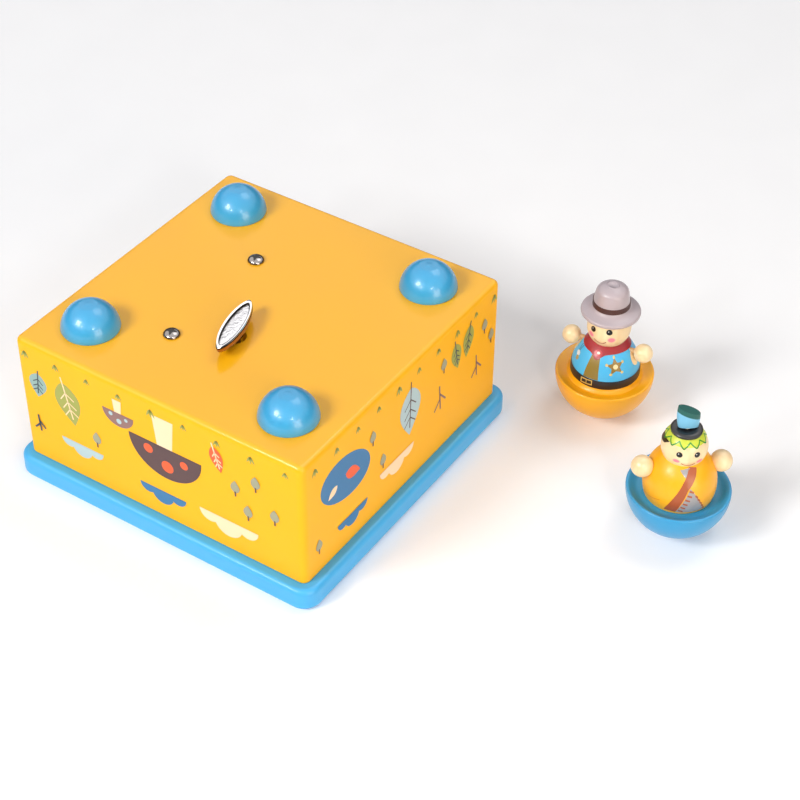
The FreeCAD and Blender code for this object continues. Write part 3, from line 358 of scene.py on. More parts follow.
wall_shapes = {
    "front": [
        *veined(-33, 9, 15, 4.6, 78, "olive", "cream"),
        *veined(-42, 10, 9, 3.2, 96, "teal", "slate"),
        *toadstool(3, 5, 23, "brown", "cream", "orange"),
        *toadstool(-13, 6, 10, "mauve", "cream", "pale"),
        (cloud(-28, 30, 8), "pale"),
        (cloud(1, 32.5, 8.5), "blue"),
        (cloud(24, 31.5, 10.5), "cream"),
        *veined(20, 6, 9, 2.2, 74, "orange", "cream"),
        *seeds(4.6, (-22, 22), (27, 15), (34, 10), (40, 19), (31, 22)),
        *twig(-44, 26, 6, "slate"),
    ],
    "right": [
        (oval(-30, 17, 12, 7.5, 16), "blue"),
        (leaf(-30, 16, 7.5, 2.0, 24), "orange"),
        (leaf(-34, 17, 5, 1.3, 150), "cream"),
        *veined(2, 8, 17, 5.2, 92, "pale", "brown"),
        *twig(17, 18, 9, "mauve"),
        *twig(37, 20, 8, "mauve"),
        *veined(25, 8, 10, 2.6, 80, "olive", "slate"),
        *veined(33, 6, 11, 2.8, 100, "olive", "slate"),
        (cloud(-27, 32.5, 7.5), "blue"),
        (cloud(-5, 29, 9), "cream"),
        *seeds(4.4, (-12, 22), (-43, 30), (-17, 10), (19, 9), (41, 9), (45, 15)),
    ],
    "back": [
        *toadstool(-26, 6, 14, "orange", "cream", "cream"),
        *veined(4, 7, 18, 5, 88, "teal", "slate"),
        (cloud(-18, 31, 9), "pale"),
        (cloud(27, 31, 9), "cream"),
        *twig(26, 10, 10, "mauve"),
        *seeds(4.5, (-14, 20), (16, 22), (38, 12), (-38, 24)),
    ],
    "left": [
        *veined(-28, 7, 16, 4.8, 84, "olive", "cream"),
        *toadstool(18, 6, 17, "blue", "cream", "pale"),
        (cloud(-5, 31, 9), "cream"),
        (cloud(30, 31, 7.5), "pale"),
        *twig(-6, 9, 9, "brown"),
        *seeds(4.5, (-11, 18), (19, 20), (41, 10), (-35, 22)),
    ],
}
print_ink = painted("wall_print_ink", INK["brown"], 0.45, 0.1, 0.1, "ink")
for wall, shapes in wall_shapes.items():
    coloured = [(outline, INK[screen]) for outline, screen in shapes]
    wall_print = inked(f"{wall}_wall_print", coloured, on_wall(WALL_TURN[wall]))
    add_piece(wall_print, "box", print_ink)

# The seed sprigs along the foot of each wall are one small mark screened again and again.
# They are set out along a line by a node tree and realised as one flat mesh a wall.
SPRIG_LEAVES = (62, 90, 118)
SPRIG_LENGTH, SPRIG_WIDTH = 3.2, 0.4
SPRIG_OUT, SPRIG_LEVEL = 0.04956, 0.0466
LEAST_SIZE, SIZE_SEED = 0.7, 7
SPRIG_ROWS = {"front": (-46, 44, 9), "right": (-44, 46, 10), "back": (-45, 45, 9), "left": (-46, 44, 8)}
sprig_shapes = [(leaf(0, 0, SPRIG_LENGTH, SPRIG_WIDTH, a), INK["olive"]) for a in SPRIG_LEAVES]
mark = inked("sprig_mark", sprig_shapes, lambda u, v, lift: Vector((u, -lift, -v)))
bpy.context.collection.objects.unlink(mark)
row_tree = node_group(
    "row_of_marks",
    {"Geometry": "Geometry", "Mark": "Object", "Count": "Int", "Least size": "Float", "Ink": "Material"},
    {"Geometry": "Geometry"},
    "GeometryNodeTree",
)
row = row_tree.nodes
row_in = row.new("NodeGroupInput")
row_out = row.new("NodeGroupOutput")
curve = row.new("GeometryNodeMeshToCurve")
spaced = row.new("GeometryNodeResampleCurve")
info = row.new("GeometryNodeObjectInfo")
varied = row.new("FunctionNodeRandomValue")
stamp = row.new("GeometryNodeInstanceOnPoints")
real = row.new("GeometryNodeRealizeInstances")
finish_ink = row.new("GeometryNodeSetMaterial")
preset(varied, {"Max": 1.0, "Seed": SIZE_SEED})
join(
    row_tree,
    (row_in, "Geometry", curve, "Mesh"),
    (curve, "Curve", spaced, "Curve"),
    (row_in, "Count", spaced, "Count"),
    (spaced, "Curve", stamp, "Points"),
    (row_in, "Mark", info, "Object"),
    (info, "Geometry", stamp, "Instance"),
    (row_in, "Least size", varied, 2),
    (varied, 1, stamp, "Scale"),
    (stamp, "Instances", real, "Geometry"),
    (real, "Geometry", finish_ink, "Geometry"),
    (row_in, "Ink", finish_ink, "Material"),
    (finish_ink, "Geometry", row_out, "Geometry"),
)
for wall, (start, end, count) in SPRIG_ROWS.items():
    line = bpy.data.meshes.new(f"{wall}_sprig_line")
    line.from_pydata([(u / PER_METRE, -SPRIG_OUT, SPRIG_LEVEL) for u in (start, end)], [(0, 1)], [])
    sprigs = put(f"{wall}_sprigs", line)
    rows = sprigs.modifiers.new("row", "NODES")
    rows.node_group = row_tree
    settings = {"Mark": mark, "Count": count, "Least size": LEAST_SIZE, "Ink": print_ink}
    for item in row_tree.interface.items_tree:
        if item.in_out == "INPUT" and item.name in settings:
            rows[item.identifier] = settings[item.name]
    bpy.context.view_layer.update()
    made = bpy.data.meshes.new_from_object(sprigs.evaluated_get(bpy.context.evaluated_depsgraph_get()))
    sprigs.modifiers.clear()
    made.transform(Matrix.Rotation(math.radians(WALL_TURN[wall]), 4, "Z"))
    sprigs.data = made
    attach(sprigs, "box")

# The feet are turned half balls of beech with a small flat at the apex, sprayed blue.
# Each is glued to the bottom panel on a dowel; the dowels stay hidden.
FOOT_BLUE = (58, 162, 213)
FOOT_RADIUS, FOOT_SPOT = 8.5, 34.25
FOOT_CORNERS = {"front_left": (-1, -1), "front_right": (1, -1), "back_right": (1, 1), "back_left": (-1, 1)}
ON_AXIS = 0.001
TURNED_SHARP = 42


def ring_faces(rings, around):
    """The faces between rings of points, then the bottom and the top."""
    faces = []
    for ring in range(rings - 1):
        low, high = ring * around, (ring + 1) * around
        for k in range(around):
            n = (k + 1) % around
            faces.append([low + k, low + n, high + n, high + k])
    faces.append(list(range(around))[::-1])
    faces.append([(rings - 1) * around + k for k in range(around)])
    return faces


def smooth_mesh(name, points, faces, sharp):
    """A smooth mesh that keeps the edges sharper than an angle."""
    mesh = bpy.data.meshes.new(name)
    mesh.from_pydata(points, [], faces)
    for face in mesh.polygons:
        face.use_smooth = True
    mesh.set_sharp_from_angle(angle=math.radians(sharp))
    return mesh


def turned(name, profile, centre, segments=96):
    """A lathe-turned piece from (radius, height) points in millimetres about an upright axis."""
    points = []
    for radius, height in profile:
        for k in range(segments):
            a = 2 * math.pi * k / segments
            x, y = centre[0] + radius * math.cos(a), centre[1] + radius * math.sin(a)
            points.append((x / PER_METRE, y / PER_METRE, height / PER_METRE))
    return put(name, smooth_mesh(name, points, ring_faces(len(profile), segments), TURNED_SHARP))


def arc(centre_r, centre_z, radius_r, radius_z, start, end, count):
    """Points of an elliptic arc in a lathe profile, angles up from the horizontal."""
    angles = spread(start, end, count)
    return [(max(1e-4, centre_r + radius_r * math.cos(a)), centre_z + radius_z * math.sin(a)) for a in angles]


foot_blue = painted("foot_blue", srgb(*FOOT_BLUE), 0.28, 0.1, 0.4)
foot_dome = [(8.3, PANEL_TOP)] + arc(0, PANEL_TOP, FOOT_RADIUS, FOOT_RADIUS, 3, 73, 26)
foot_dome += arc(0, 57.3, 2.4, 0.9, 55, 90, 6)
for side, (x, y) in FOOT_CORNERS.items():
    foot = turned(f"foot_{side}_turned", foot_dome, (FOOT_SPOT * x, FOOT_SPOT * y))
    add_piece(foot, "box", foot_blue, [f"foot_{side}"])

# The dowels and pegs in the feet and figures are bare beech rods, glued in their holes.
# Their fibres run along the upright axis, as those of the figures' heads and hands do.
BEECH_PALE, BEECH_DARK = (222, 184, 136), (196, 152, 104)
FIBRE_STRETCH, FIBRE_DETAIL = (420, 420, 60), 5
FIBRE_LOW, FIBRE_HIGH = 0.3, 0.62
grain_group = node_group(
    "wood_grain", {"Vector": "Vector", "Pale": "Color", "Dark": "Color"}, {"Color": "Color"}
)
grain = grain_group.nodes
grain_in = grain.new("NodeGroupInput")
grain_out = grain.new("NodeGroupOutput")
stretch = grain.new("ShaderNodeMapping")
fibres = grain.new("ShaderNodeTexNoise")
contrast = grain.new("ShaderNodeMapRange")
tinted = grain.new("ShaderNodeMix")
tinted.data_type = "RGBA"
preset(stretch, {"Scale": FIBRE_STRETCH})
preset(fibres, {"Scale": 1.0, "Detail": FIBRE_DETAIL})
preset(contrast, {"From Min": FIBRE_LOW, "From Max": FIBRE_HIGH})
join(
    grain_group,
    (grain_in, "Vector", stretch, "Vector"),
    (stretch, "Vector", fibres, "Vector"),
    (fibres, "Fac", contrast, "Value"),
    (contrast, "Result", tinted, "Factor"),
    (grain_in, "Dark", tinted, "A"),
    (grain_in, "Pale", tinted, "B"),
    (tinted, "Result", grain_out, "Color"),
)


def wood(name, pale, dark, roughness=0.5, coat=0.0):
    """Close-grained wood with faint fibres along the upright axis."""
    material, tree, shader, _, figure = new_material(name, grain_group)
    preset(figure, {"Pale": pale, "Dark": dark})
    preset(shader, {"Roughness": roughness, "Coat Weight": coat})
    join(tree, (figure, "Color", shader, "Base Color"))
    return material


bare_beech = wood("bare_beech", srgb(*BEECH_PALE), srgb(*BEECH_DARK))
dress(bare_beech, "foot_dowels", "rider_dowel", "rider_neck_dowel", "rider_arm_pegs")
dress(bare_beech, "scout_dowel", "scout_neck_dowel", "scout_arm_pegs")

# The movement screws are plated steel pan heads with a cross recess, shown by dark marks of painted shade on
# the head; the recess itself is not cut.
# They go through the bottom panel and hold the movement's bedplate up against it.
PLATED_GREY, RECESS_SHADE = (142, 136, 134), (24, 20, 20)
SCREW_RADIUS, SCREW_DOME, SCREW_SEAT = 2.5, 1.4, 50.2
SCREW_SEGMENTS = 48
RECESS_SEAT = 50.21
RECESS_REACH, RECESS_WIDTH, RECESS_TURNS, RECESS_STEP = 1.7, 0.5, (20, 110), 0.3
SCREW_SPOTS = {"back": (-14.7, 16.8), "front": (-13.4, -24.2)}
SCRATCH_SCALE, SCRATCH_DETAIL = 700, 6
DENT_SCALE, DENT_DEPTH = 1100, 0.001
marks_group = node_group(
    "metal_marks",
    {"Vector": "Vector", "Roughness": "Float", "Scratch": "Float", "Relief": "Float"},
    {"Roughness": "Float", "Normal": "Vector"},
)
marks = marks_group.nodes
marks_in = marks.new("NodeGroupInput")
marks_out = marks.new("NodeGroupOutput")
scratches = marks.new("ShaderNodeTexNoise")
dents = marks.new("ShaderNodeTexNoise")
scratched = marks.new("ShaderNodeMath")
scratched.operation = "MULTIPLY_ADD"
dented = marks.new("ShaderNodeBump")
preset(scratches, {"Scale": SCRATCH_SCALE, "Detail": SCRATCH_DETAIL})
preset(dents, {"Scale": DENT_SCALE})
preset(dented, {"Distance": DENT_DEPTH})
join(
    marks_group,
    (marks_in, "Vector", scratches, "Vector"),
    (marks_in, "Vector", dents, "Vector"),
    (scratches, "Fac", scratched, 0),
    (marks_in, "Scratch", scratched, 1),
    (marks_in, "Roughness", scratched, 2),
    (scratched, 0, marks_out, "Roughness"),
    (dents, "Fac", dented, "Height"),
    (marks_in, "Relief", dented, "Strength"),
    (dented, "Normal", marks_out, "Normal"),
)


def metal(name, colour, roughness, scratch, hammered=0.0):
    """Metal with fine scratches that spread its shine; hammered dents it."""
    material, tree, shader, _, worn = new_material(name, marks_group)
    preset(worn, {"Roughness": roughness, "Scratch": scratch, "Relief": hammered})
    preset(shader, {"Base Color": srgb(*colour), "Metallic": 1.0})
    join(tree, (worn, "Roughness", shader, "Roughness"))
    if hammered:
        join(tree, (worn, "Normal", shader, "Normal"))
    return material


def on_dome(x, y):
    """A place function for marks on a screw's domed head."""
    def lay(u, v, lift):
        rise = SCREW_DOME * math.sqrt(1 - (u * u + v * v) / SCREW_RADIUS ** 2)
        return Vector((x + u, y + v, RECESS_SEAT + rise + lift))
    return lay


plated = metal("plated_screw", PLATED_GREY, 0.05, 0.05)
recess_shade_colour = srgb(*RECESS_SHADE)
pan_head = [(2.35, PANEL_TOP), (SCREW_RADIUS, SCREW_SEAT)]
pan_head += arc(0, SCREW_SEAT, SCREW_RADIUS, SCREW_DOME, 8, 70, 10)
pan_head += [(0.7, 51.35), (ON_AXIS, 50.7)]
cross = [(oval(0, 0, RECESS_REACH, RECESS_WIDTH, a, count=24), recess_shade_colour) for a in RECESS_TURNS]
for side, spot in SCREW_SPOTS.items():
    head = turned(f"movement_screw_{side}", pan_head, spot, SCREW_SEGMENTS)
    add_piece(head, "box", plated, ["movement_screws"])
    # The cross is painted shade: near-black marks on the dome where the hollow of the recess would lie in
    # shadow.
    recess = inked(f"screw_{side}_recess", cross, on_dome(*spot), RECESS_STEP)
    add_piece(recess, "box", painted(f"screw_{side}_shadow", recess_shade_colour, 0.6, ink="ink"))

# The key's head is a boat-shaped chromed casting: a raised rim round a sunk, finely hammered panel.
# Its sides draw in to a round stem that goes through the bottom panel.
KEY_AT, KEY_TURN = (1.7, -14.9), 14.2
KEY_AROUND, KEY_SHARP = 96, 50
# Each level is its half length, half width, taper and height, and the finish up to the next level.
key_levels = [
    (2.4, 2.4, 1.0, 50.6, "key_stem"),
    (2.4, 2.4, 1.0, 51.15, "key_stem"),
    (6.3, 2.6, 1.05, 51.4, "key_sides_reflection"),
    (9.1, 2.9, 1.15, 51.9, "key_sides_reflection"),
    (10.8, 3.1, 1.2, 52.5, "key_sides_reflection"),
    (11.45, 3.18, 1.25, 53.2, "key_sides_reflection"),
    (11.6, 3.2, 1.25, 54.0, "key_shade_band"),
    (11.5, 3.12, 1.25, 54.4, "chrome_plate"),
    (11.15, 2.9, 1.25, 54.7, "chrome_plate"),
    (10.25, 2.4, 1.2, 54.7, "chrome_plate"),
    (10.05, 2.28, 1.2, 54.6, "key_shade_band"),
    (9.65, 2.02, 1.2, 53.95, "hammered_chrome"),
    (9.2, 1.75, 1.2, 54.0, "hammered_chrome"),
]
key_turned = Matrix.Rotation(math.radians(KEY_TURN), 2)
key_points = []
key_finishes = []
for half_length, half_width, taper, z, finish in key_levels:
    for k in range(KEY_AROUND):
        across, along = math.cos(2 * math.pi * k / KEY_AROUND), math.sin(2 * math.pi * k / KEY_AROUND)
        lens = half_width * math.copysign(abs(across) ** taper, across)
        spot = key_turned @ Vector((lens, half_length * along))
        x, y = KEY_AT[0] + spot.x, KEY_AT[1] + spot.y
        key_points.append((x / PER_METRE, y / PER_METRE, z / PER_METRE))
    key_finishes += [finish] * KEY_AROUND
bottom_and_top = [key_levels[0][-1], key_levels[-1][-1]]
key_finishes = key_finishes[:-KEY_AROUND] + bottom_and_top
key_faces = ring_faces(len(key_levels), KEY_AROUND)
key_mesh = smooth_mesh("winding_key_cast", key_points, key_faces, KEY_SHARP)
key_mesh.materials.append(metal("chrome_plate", (226, 226, 228), 0.03, 0.08))
key_mesh.materials.append(metal("hammered_chrome", (222, 220, 222), 0.26, 0.2, 0.4))
# This dark finish is painted shade and dark reflection on a plain band of the outer wall under the rim lip
# and on the rim's inner wall, not a cut groove.
key_mesh.materials.append(metal("key_shade_band", (50, 45, 42), 0.3, 0.2))
# The sides are chrome tinted dark orange-brown, a painted reflection of the shaded yellow panel under the
# head.
key_mesh.materials.append(metal("key_sides_reflection", (176, 128, 92), 0.04, 0.06))
# The stem's finish is darkened as painted shade, for the shadow it stands in under the head.
key_mesh.materials.append(metal("key_stem", (96, 80, 70), 0.1, 0.1))
for face, finish in zip(key_mesh.polygons, key_finishes):
    face.material_index = key_mesh.materials.find(finish)
key_head = put("winding_key_cast", key_mesh)
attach(key_head, "winder")
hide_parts("winding_key")

# The movement hangs inside under the bottom panel, with a zinc bedplate, brass train, steel comb and spring.
# The nylon gears turn the rotor, whose magnets pull the figures round through the stage plate.
brass = metal("brass", (214, 172, 92), 0.22, 0.2)
steel = metal("steel", (190, 190, 192), 0.22, 0.2)
zinc = metal("cast_zinc", (168, 168, 164), 0.4, 0.25)
nickel = metal("magnet_nickel", (150, 150, 154), 0.25, 0.2)
nylon = painted("white_nylon", srgb(232, 230, 220), 0.45, 0.05, 0.0)
dress(zinc, "bedplate")
dress(brass, "crown_wheel", "spring_housing", "pinned_cylinder", "cylinder_pinion", "great_wheel")
dress(brass, "governor_wheel", "governor_fan", "governor_frame", "rotor_pin")
dress(steel, "winding_arbor", "mainspring", "cylinder_arbor", "comb", "comb_screws", "governor_arbor")
dress(nylon, "drive_gear", "rotor_gear", "rotor_arm")
dress(nickel, "rotor_magnets", "rider_magnet", "scout_magnet")

# The rider is a turned figure: orange half-ball base, painted egg body, bare pale head and hands, mauve hat.
# The body is dowelled into the base over its magnet, and the head and hands are pegged to the body.
RIDER_AT, RIDER_FACING = (76.2, 69.0), 9.5
RIDER_HEAD_LEVEL, RIDER_HAND_LEVEL, RIDER_HAND_RADIUS = 32.0, 25.0, 2.9
BASE_RADIUS = 15.0
HEAD_RADIUS = 6.6
HAND_REACH, HAND_SEGMENTS = 11.3, 64
EGG_STEPS = 40
PAINT_STEP, FINE_STEP, FACE_STEP = 0.5, 0.4, 0.3


def around_axis(centre, facing, radius_at, reference):
    """A place function for paint on a turned surface: u is round it from the front and v is its height."""
    def lay(u, v, lift):
        a = math.radians(facing) + u / reference
        r = radius_at(v) + lift
        return Vector((centre[0] + r * math.sin(a), centre[1] - r * math.cos(a), v))
    return lay


def egg_radius(centre_z, rise, radius):
    """The radius of an egg at a height."""
    return lambda z: radius * math.sqrt(max(0.0, 1 - ((z - centre_z) / rise) ** 2))


def head_radius(centre_z, over=0.0):
    """The radius of a head at a height, with something over it."""
    return lambda z: math.sqrt(max(0.0, HEAD_RADIUS ** 2 - (z - centre_z) ** 2)) + over


def on_arc(reference, spots):
    """Turns (degrees round, height) spots into (millimetres round, height)."""
    return [(math.radians(a) * reference, z) for a, z in spots]


def dot(reference, angle, height, wide, tall, count=40):
    """An oval on a turned surface, placed by its angle and height."""
    return oval(math.radians(angle) * reference, height, wide, tall, count=count)


def band(low, high, reference, count=72):
    """The strip between two heights all the way round, as short panels."""
    turn = 2 * math.pi * reference
    edges = [turn * (k / count - 0.5) for k in range(count + 1)]
    return [[(a, low(a)), (b, low(b)), (b, high(b)), (a, high(a))] for a, b in zip(edges, edges[1:])]


def base_profile(dish, collar):
    """The half ball with a rounded rim and a dished top; a collar of some height meets the body."""
    lower = arc(0, BASE_RADIUS, BASE_RADIUS, BASE_RADIUS, -89.5, -4, 40)
    rim = arc(14.45, 14.75, 0.5, 0.42, -10, 120, 8)
    slope = [(14.0 - 0.5 * k, BASE_RADIUS - dish * math.sin(math.radians(15 * k))) for k in range(1, 6)]
    sunk = BASE_RADIUS - dish
    top = [(10.9, sunk + 0.3 * collar), (10.45, sunk + collar), (ON_AXIS, sunk + collar)]
    return lower + rim + slope + top


def egg_profile(egg, low, high):
    """An egg cut off at two heights."""
    heights = [low + (high - low) * k / EGG_STEPS for k in range(EGG_STEPS + 1)]
    return [(egg(z), z) for z in heights]


def ball_profile(centre_z, radius):
    """A whole ball."""
    return arc(0, centre_z, radius, radius, -89.5, 89.5, 60)


def add_head_and_hands(who, at, facing, head_level, hand_level, hand_radius):
    """The ball head and the two ball hands of a figure, in bare wood."""
    head = turned(f"{who}_head_turned", ball_profile(head_level, HEAD_RADIUS), at)
    add_piece(head, who, pale_wood, [f"{who}_head"])
    sideways = math.radians(facing)
    for side, reach in (("left", HAND_REACH), ("right", -HAND_REACH)):
        spot = (at[0] + reach * math.cos(sideways), at[1] + reach * math.sin(sideways))
        hand = turned(f"{who}_hand_{side}", ball_profile(hand_level, hand_radius), spot, HAND_SEGMENTS)
        add_piece(hand, who, pale_wood, [f"{who}_hands"])


def face_paint(eyes, cheeks, smile, eye_size, cheek_size):
    """Eyes with a glint, blushed cheeks and a thin smile on a ball head, as outlines by angle and height."""
    shapes = []
    for a, z in cheeks:
        for share, tint in ((1.0, (250, 204, 176)), (0.86, (248, 170, 168)), (0.7, (244, 136, 152))):
            blush = dot(HEAD_RADIUS, a, z, cheek_size[0] * share, cheek_size[1] * share)
            shapes.append((blush, srgb(*tint)))
    for a, z in eyes:
        glint_u = math.radians(a) * HEAD_RADIUS - 0.25
        shapes.append((dot(HEAD_RADIUS, a, z, 1.12 * eye_size[0], 1.15 * eye_size[1]), srgb(10, 8, 8)))
        shapes.append((oval(glint_u, z + 0.22, 0.16, 0.14), srgb(240, 240, 240)))
    shapes.append((stroke(on_arc(HEAD_RADIUS, smile), 0.24), srgb(160, 60, 46)))
    return shapes


pale_wood = wood("pale_lacquered_wood", srgb(249, 224, 178), srgb(241, 209, 158), 0.35, 0.3)
figure_ink = painted("figure_paint", INK["brown"], 0.35, 0.06, 0.2, "ink")
rider_orange = painted("rider_orange", srgb(255, 178, 0), 0.3, 0.1, 0.1)
rider_jacket = painted("rider_jacket", srgb(78, 190, 242), 0.34)
rider_egg = egg_radius(15.6, 13.6, 10.5)
rider_base = turned("rider_base_turned", base_profile(0.6, 1.5), RIDER_AT)
add_piece(rider_base, "rider", rider_orange, ["rider_base"])
rider_body = turned("rider_body_turned", egg_profile(rider_egg, 14.3, 28.6), RIDER_AT)
add_piece(rider_body, "rider", rider_jacket, ["rider_body"])
add_head_and_hands(
    "rider", RIDER_AT, RIDER_FACING, RIDER_HEAD_LEVEL, RIDER_HAND_LEVEL, RIDER_HAND_RADIUS
)

# The rider's costume and face are brushed and stamped on: a shirt front, a star badge, a charm on threads,
# painted mitts, a buckled belt, a knotted neckerchief, and eyes, cheeks and a smile.
# Chest and neck are the radii at which distances round the body are measured.
CHEST, NECK = 8.8, 6.4
BADGE_ANGLE, BADGE_LEVEL, BADGE_TIP, BADGE_NOTCH = 36, 23.0, 2.75, 1.35
belt_black, buckle_gold, tongue_gold = srgb(34, 26, 26), srgb(214, 178, 92), srgb(196, 160, 90)
shirt_olive, badge_bronze, thread_grey = srgb(142, 118, 44), srgb(150, 118, 44), srgb(60, 50, 60)
scarf_red = srgb(158, 24, 32)
belt = [(strip, belt_black) for strip in band(lambda u: 15.7, lambda u: 18.5, CHEST)]
belt.append((on_arc(CHEST, [(-25, 16.1), (-3, 16.4), (-3.4, 18.2), (-25, 17.9)]), buckle_gold))
belt.append((on_arc(CHEST, [(-23, 16.5), (-5, 16.75), (-5.4, 17.85), (-23, 17.55)]), belt_black))
belt.append((on_arc(CHEST, [(-14.6, 16.6), (-13, 16.6), (-13, 17.8), (-14.6, 17.8)]), tongue_gold))
shirt = [(on_arc(CHEST, [(-22, 18.5), (6, 18.6), (3, 25.4), (-18, 25.4)]), shirt_olive)]
star_points = []
for k in range(10):
    reach = BADGE_NOTCH if k % 2 else BADGE_TIP
    a = math.radians(90 + 36 * k + 6)
    across = math.radians(BADGE_ANGLE) * CHEST + reach * math.cos(a)
    star_points.append((across, BADGE_LEVEL + 0.9 * reach * math.sin(a)))
badge = [(star_points, badge_bronze)]
for u, v in star_points[::2]:
    badge.append((oval(u, v, 0.42, 0.4, count=16), srgb(236, 206, 130)))
badge.append((dot(CHEST, BADGE_ANGLE, BADGE_LEVEL, 0.75, 0.68, 20), srgb(244, 226, 170)))
charm = [
    (stroke(on_arc(CHEST, [(-62, 25.9), (-57, 23.2)]), 0.22), thread_grey),
    (stroke(on_arc(CHEST, [(-54, 25.9), (-55, 23.2)]), 0.22), thread_grey),
    (dot(CHEST, -54, 23.0, 1.0, 0.75, 20), srgb(236, 234, 228)),
    (dot(CHEST, -50, 21.8, 0.7, 0.75, 20), srgb(188, 156, 84)),
]
mitts = [(dot(CHEST, a, 23.0, 1.7, 2.2, 28), srgb(250, 222, 170)) for a in (86, -86)]
on_rider = around_axis(RIDER_AT, RIDER_FACING, rider_egg, CHEST)
rider_costume = inked("rider_costume", shirt + badge + charm + mitts + belt, on_rider, PAINT_STEP)
add_piece(rider_costume, "rider", figure_ink)


def scarf_edge(u):
    """The scarf's lower edge: a point at the front and a slow wave round the neck."""
    return 25.9 - 1.5 * math.exp(-((u / NECK + 0.09) / 0.2) ** 2) + 0.25 * math.sin(2 * u / NECK)


scarf = [(strip, scarf_red) for strip in band(scarf_edge, lambda u: 28.2, NECK)]
scarf.append((dot(NECK, -5, 26.1, 1.25, 0.75, 24), srgb(190, 38, 44)))
scarf.append((dot(NECK, -4, 26.15, 0.42, 0.3, 16), srgb(250, 226, 214)))
on_neck = around_axis(RIDER_AT, RIDER_FACING, lambda z: rider_egg(z) + 0.12, NECK)
add_piece(inked("rider_neckerchief", scarf, on_neck, FINE_STEP), "rider", figure_ink)
rider_face = face_paint(
    [(-29, 33.6), (18, 34.1)],
    [(-34, 31.5), (25, 31.5)],
    [(-22, 30.5), (-14, 29.8), (-5, 29.5), (4, 29.75), (12, 30.5)],
    (0.85, 0.72),
    (1.3, 1.0),
)
on_rider_head = around_axis(RIDER_AT, RIDER_FACING, head_radius(RIDER_HEAD_LEVEL), HEAD_RADIUS)
add_piece(inked("rider_face_paint", rider_face, on_rider_head, FACE_STEP), "rider", figure_ink)

# The rider's hat is turned from one piece, with a curled brim, a sloping crown and a dimple at the top.
# Its painted band is let into a groove, and the hat is glued on the crown of the head.
hat_profile = [(ON_AXIS, 37.9), (5.6, 37.6), (7.2, 37.1)] + arc(8.25, 37.75, 0.7, 0.7, -90, 70, 8)
hat_profile += [(7.9, 38.5), (7.2, 38.75), (6.5, 39.05), (5.9, 39.5), (5.5, 40.1)]
hat_profile += [(5.4, 41.6), (5.2, 43.0), (4.95, 44.4)] + arc(0, 44.6, 4.85, 2.5, 6, 66, 12)
hat_profile += [(1.9, 46.75), (1.7, 46.95), (1.2, 46.95), (1.0, 46.8), (ON_AXIS, 46.8)]
hat_mauve = painted("hat_mauve", srgb(184, 170, 175), 0.36, 0.2, 0.3)
add_piece(turned("rider_hat_turned", hat_profile, RIDER_AT), "rider", hat_mauve, ["rider_hat"])
band_profile = [(5.2, 40.0), (5.66, 40.05), (5.6, 41.7), (5.2, 41.75)]
hat_band = turned("rider_hat_band_ring", band_profile, RIDER_AT)
band_brown = painted("hat_band_brown", srgb(74, 40, 34), 0.4)
add_piece(hat_band, "rider", band_brown, ["rider_hat_band"])

# The scout is built the same way on a blue base, with a yellow coat, a fringed strap and a grey shirt.
# A lime headband, a black hair ring and a carved plume with a dark green edge are glued to the head.
SCOUT_AT, SCOUT_FACING = (118.4, 35.4), 39.9
SCOUT_HEAD_LEVEL, SCOUT_HAND_LEVEL, SCOUT_HAND_RADIUS = 30.8, 23.6, 3.2
BELLY, CROWN = 10.0, 5.0
COSTUME_STEP = 0.45
PLUME_LEAN, PLUME_RISE, PLUME_EDGE, PLUME_FADE = 24, 6.0, 0.0016, 0.0002
scout_egg = egg_radius(17.6, 12.0, 10.5)
scout_blue = painted("scout_blue", srgb(45, 152, 205), 0.3)
scout_coat = painted("scout_coat", srgb(253, 180, 8), 0.34)
scout_base = turned("scout_base_turned", base_profile(1.6, 0.0), SCOUT_AT)
add_piece(scout_base, "scout", scout_blue, ["scout_base"])
scout_body = turned("scout_body_turned", egg_profile(scout_egg, 13.5, 29.2), SCOUT_AT)
add_piece(scout_body, "scout", scout_coat, ["scout_body"])
add_head_and_hands(
    "scout", SCOUT_AT, SCOUT_FACING, SCOUT_HEAD_LEVEL, SCOUT_HAND_LEVEL, SCOUT_HAND_RADIUS
)
shirt_grey, strap_brown, seam_amber = srgb(160, 158, 160), srgb(172, 84, 40), srgb(226, 140, 16)
strap_right = [(2, 27.6), (22, 27.2), (14, 25.4), (-2, 22.0), (-18, 14.2)]
strap_left = [(-37, 14.4), (-22, 20.0), (-10, 24.2)]
coat = [
    (on_arc(BELLY, [(-20, 26.9), (-4, 25.0), (4, 27.4)]), shirt_grey),
    (on_arc(BELLY, [(2, 22.6), (-18, 14.2), (28, 14.2), (8, 21.4)]), shirt_grey),
    (on_arc(BELLY, strap_right + strap_left), strap_brown),
]
for k in range(6):
    a, z = -14 + 2.9 * k, 15.4 + 1.35 * k
    fringe = [(a, z), (a + 7.5, z - 0.5), (a + 7.5, z - 1.1), (a, z - 0.6)]
    coat.append((on_arc(BELLY, fringe), strap_brown))
for k in range(5):
    a, z = 11 + 4.0 * k, 20.6 - 1.3 * k
    fringe = [(a, z), (a + 4.5, z - 0.9), (a + 3.6, z - 1.5), (a - 0.9, z - 0.6)]
    coat.append((on_arc(BELLY, fringe), strap_brown))
seam = stroke(on_arc(BELLY, [(-84, 15.6), (-70, 15.9), (-59, 16.4), (-44, 17.3)]), 0.22)
coat.append((seam, seam_amber))
on_scout = around_axis(SCOUT_AT, SCOUT_FACING, scout_egg, BELLY)
add_piece(inked("scout_costume", coat, on_scout, COSTUME_STEP), "scout", figure_ink)
scout_face = face_paint(
    [(-27, 32.2), (18, 32.1)],
    [(-33, 29.8), (27, 29.5)],
    [(-20, 29.2), (-11, 28.55), (-2, 28.3), (7, 28.55), (15, 29.2)],
    (0.8, 0.72),
    (1.2, 0.75),
)
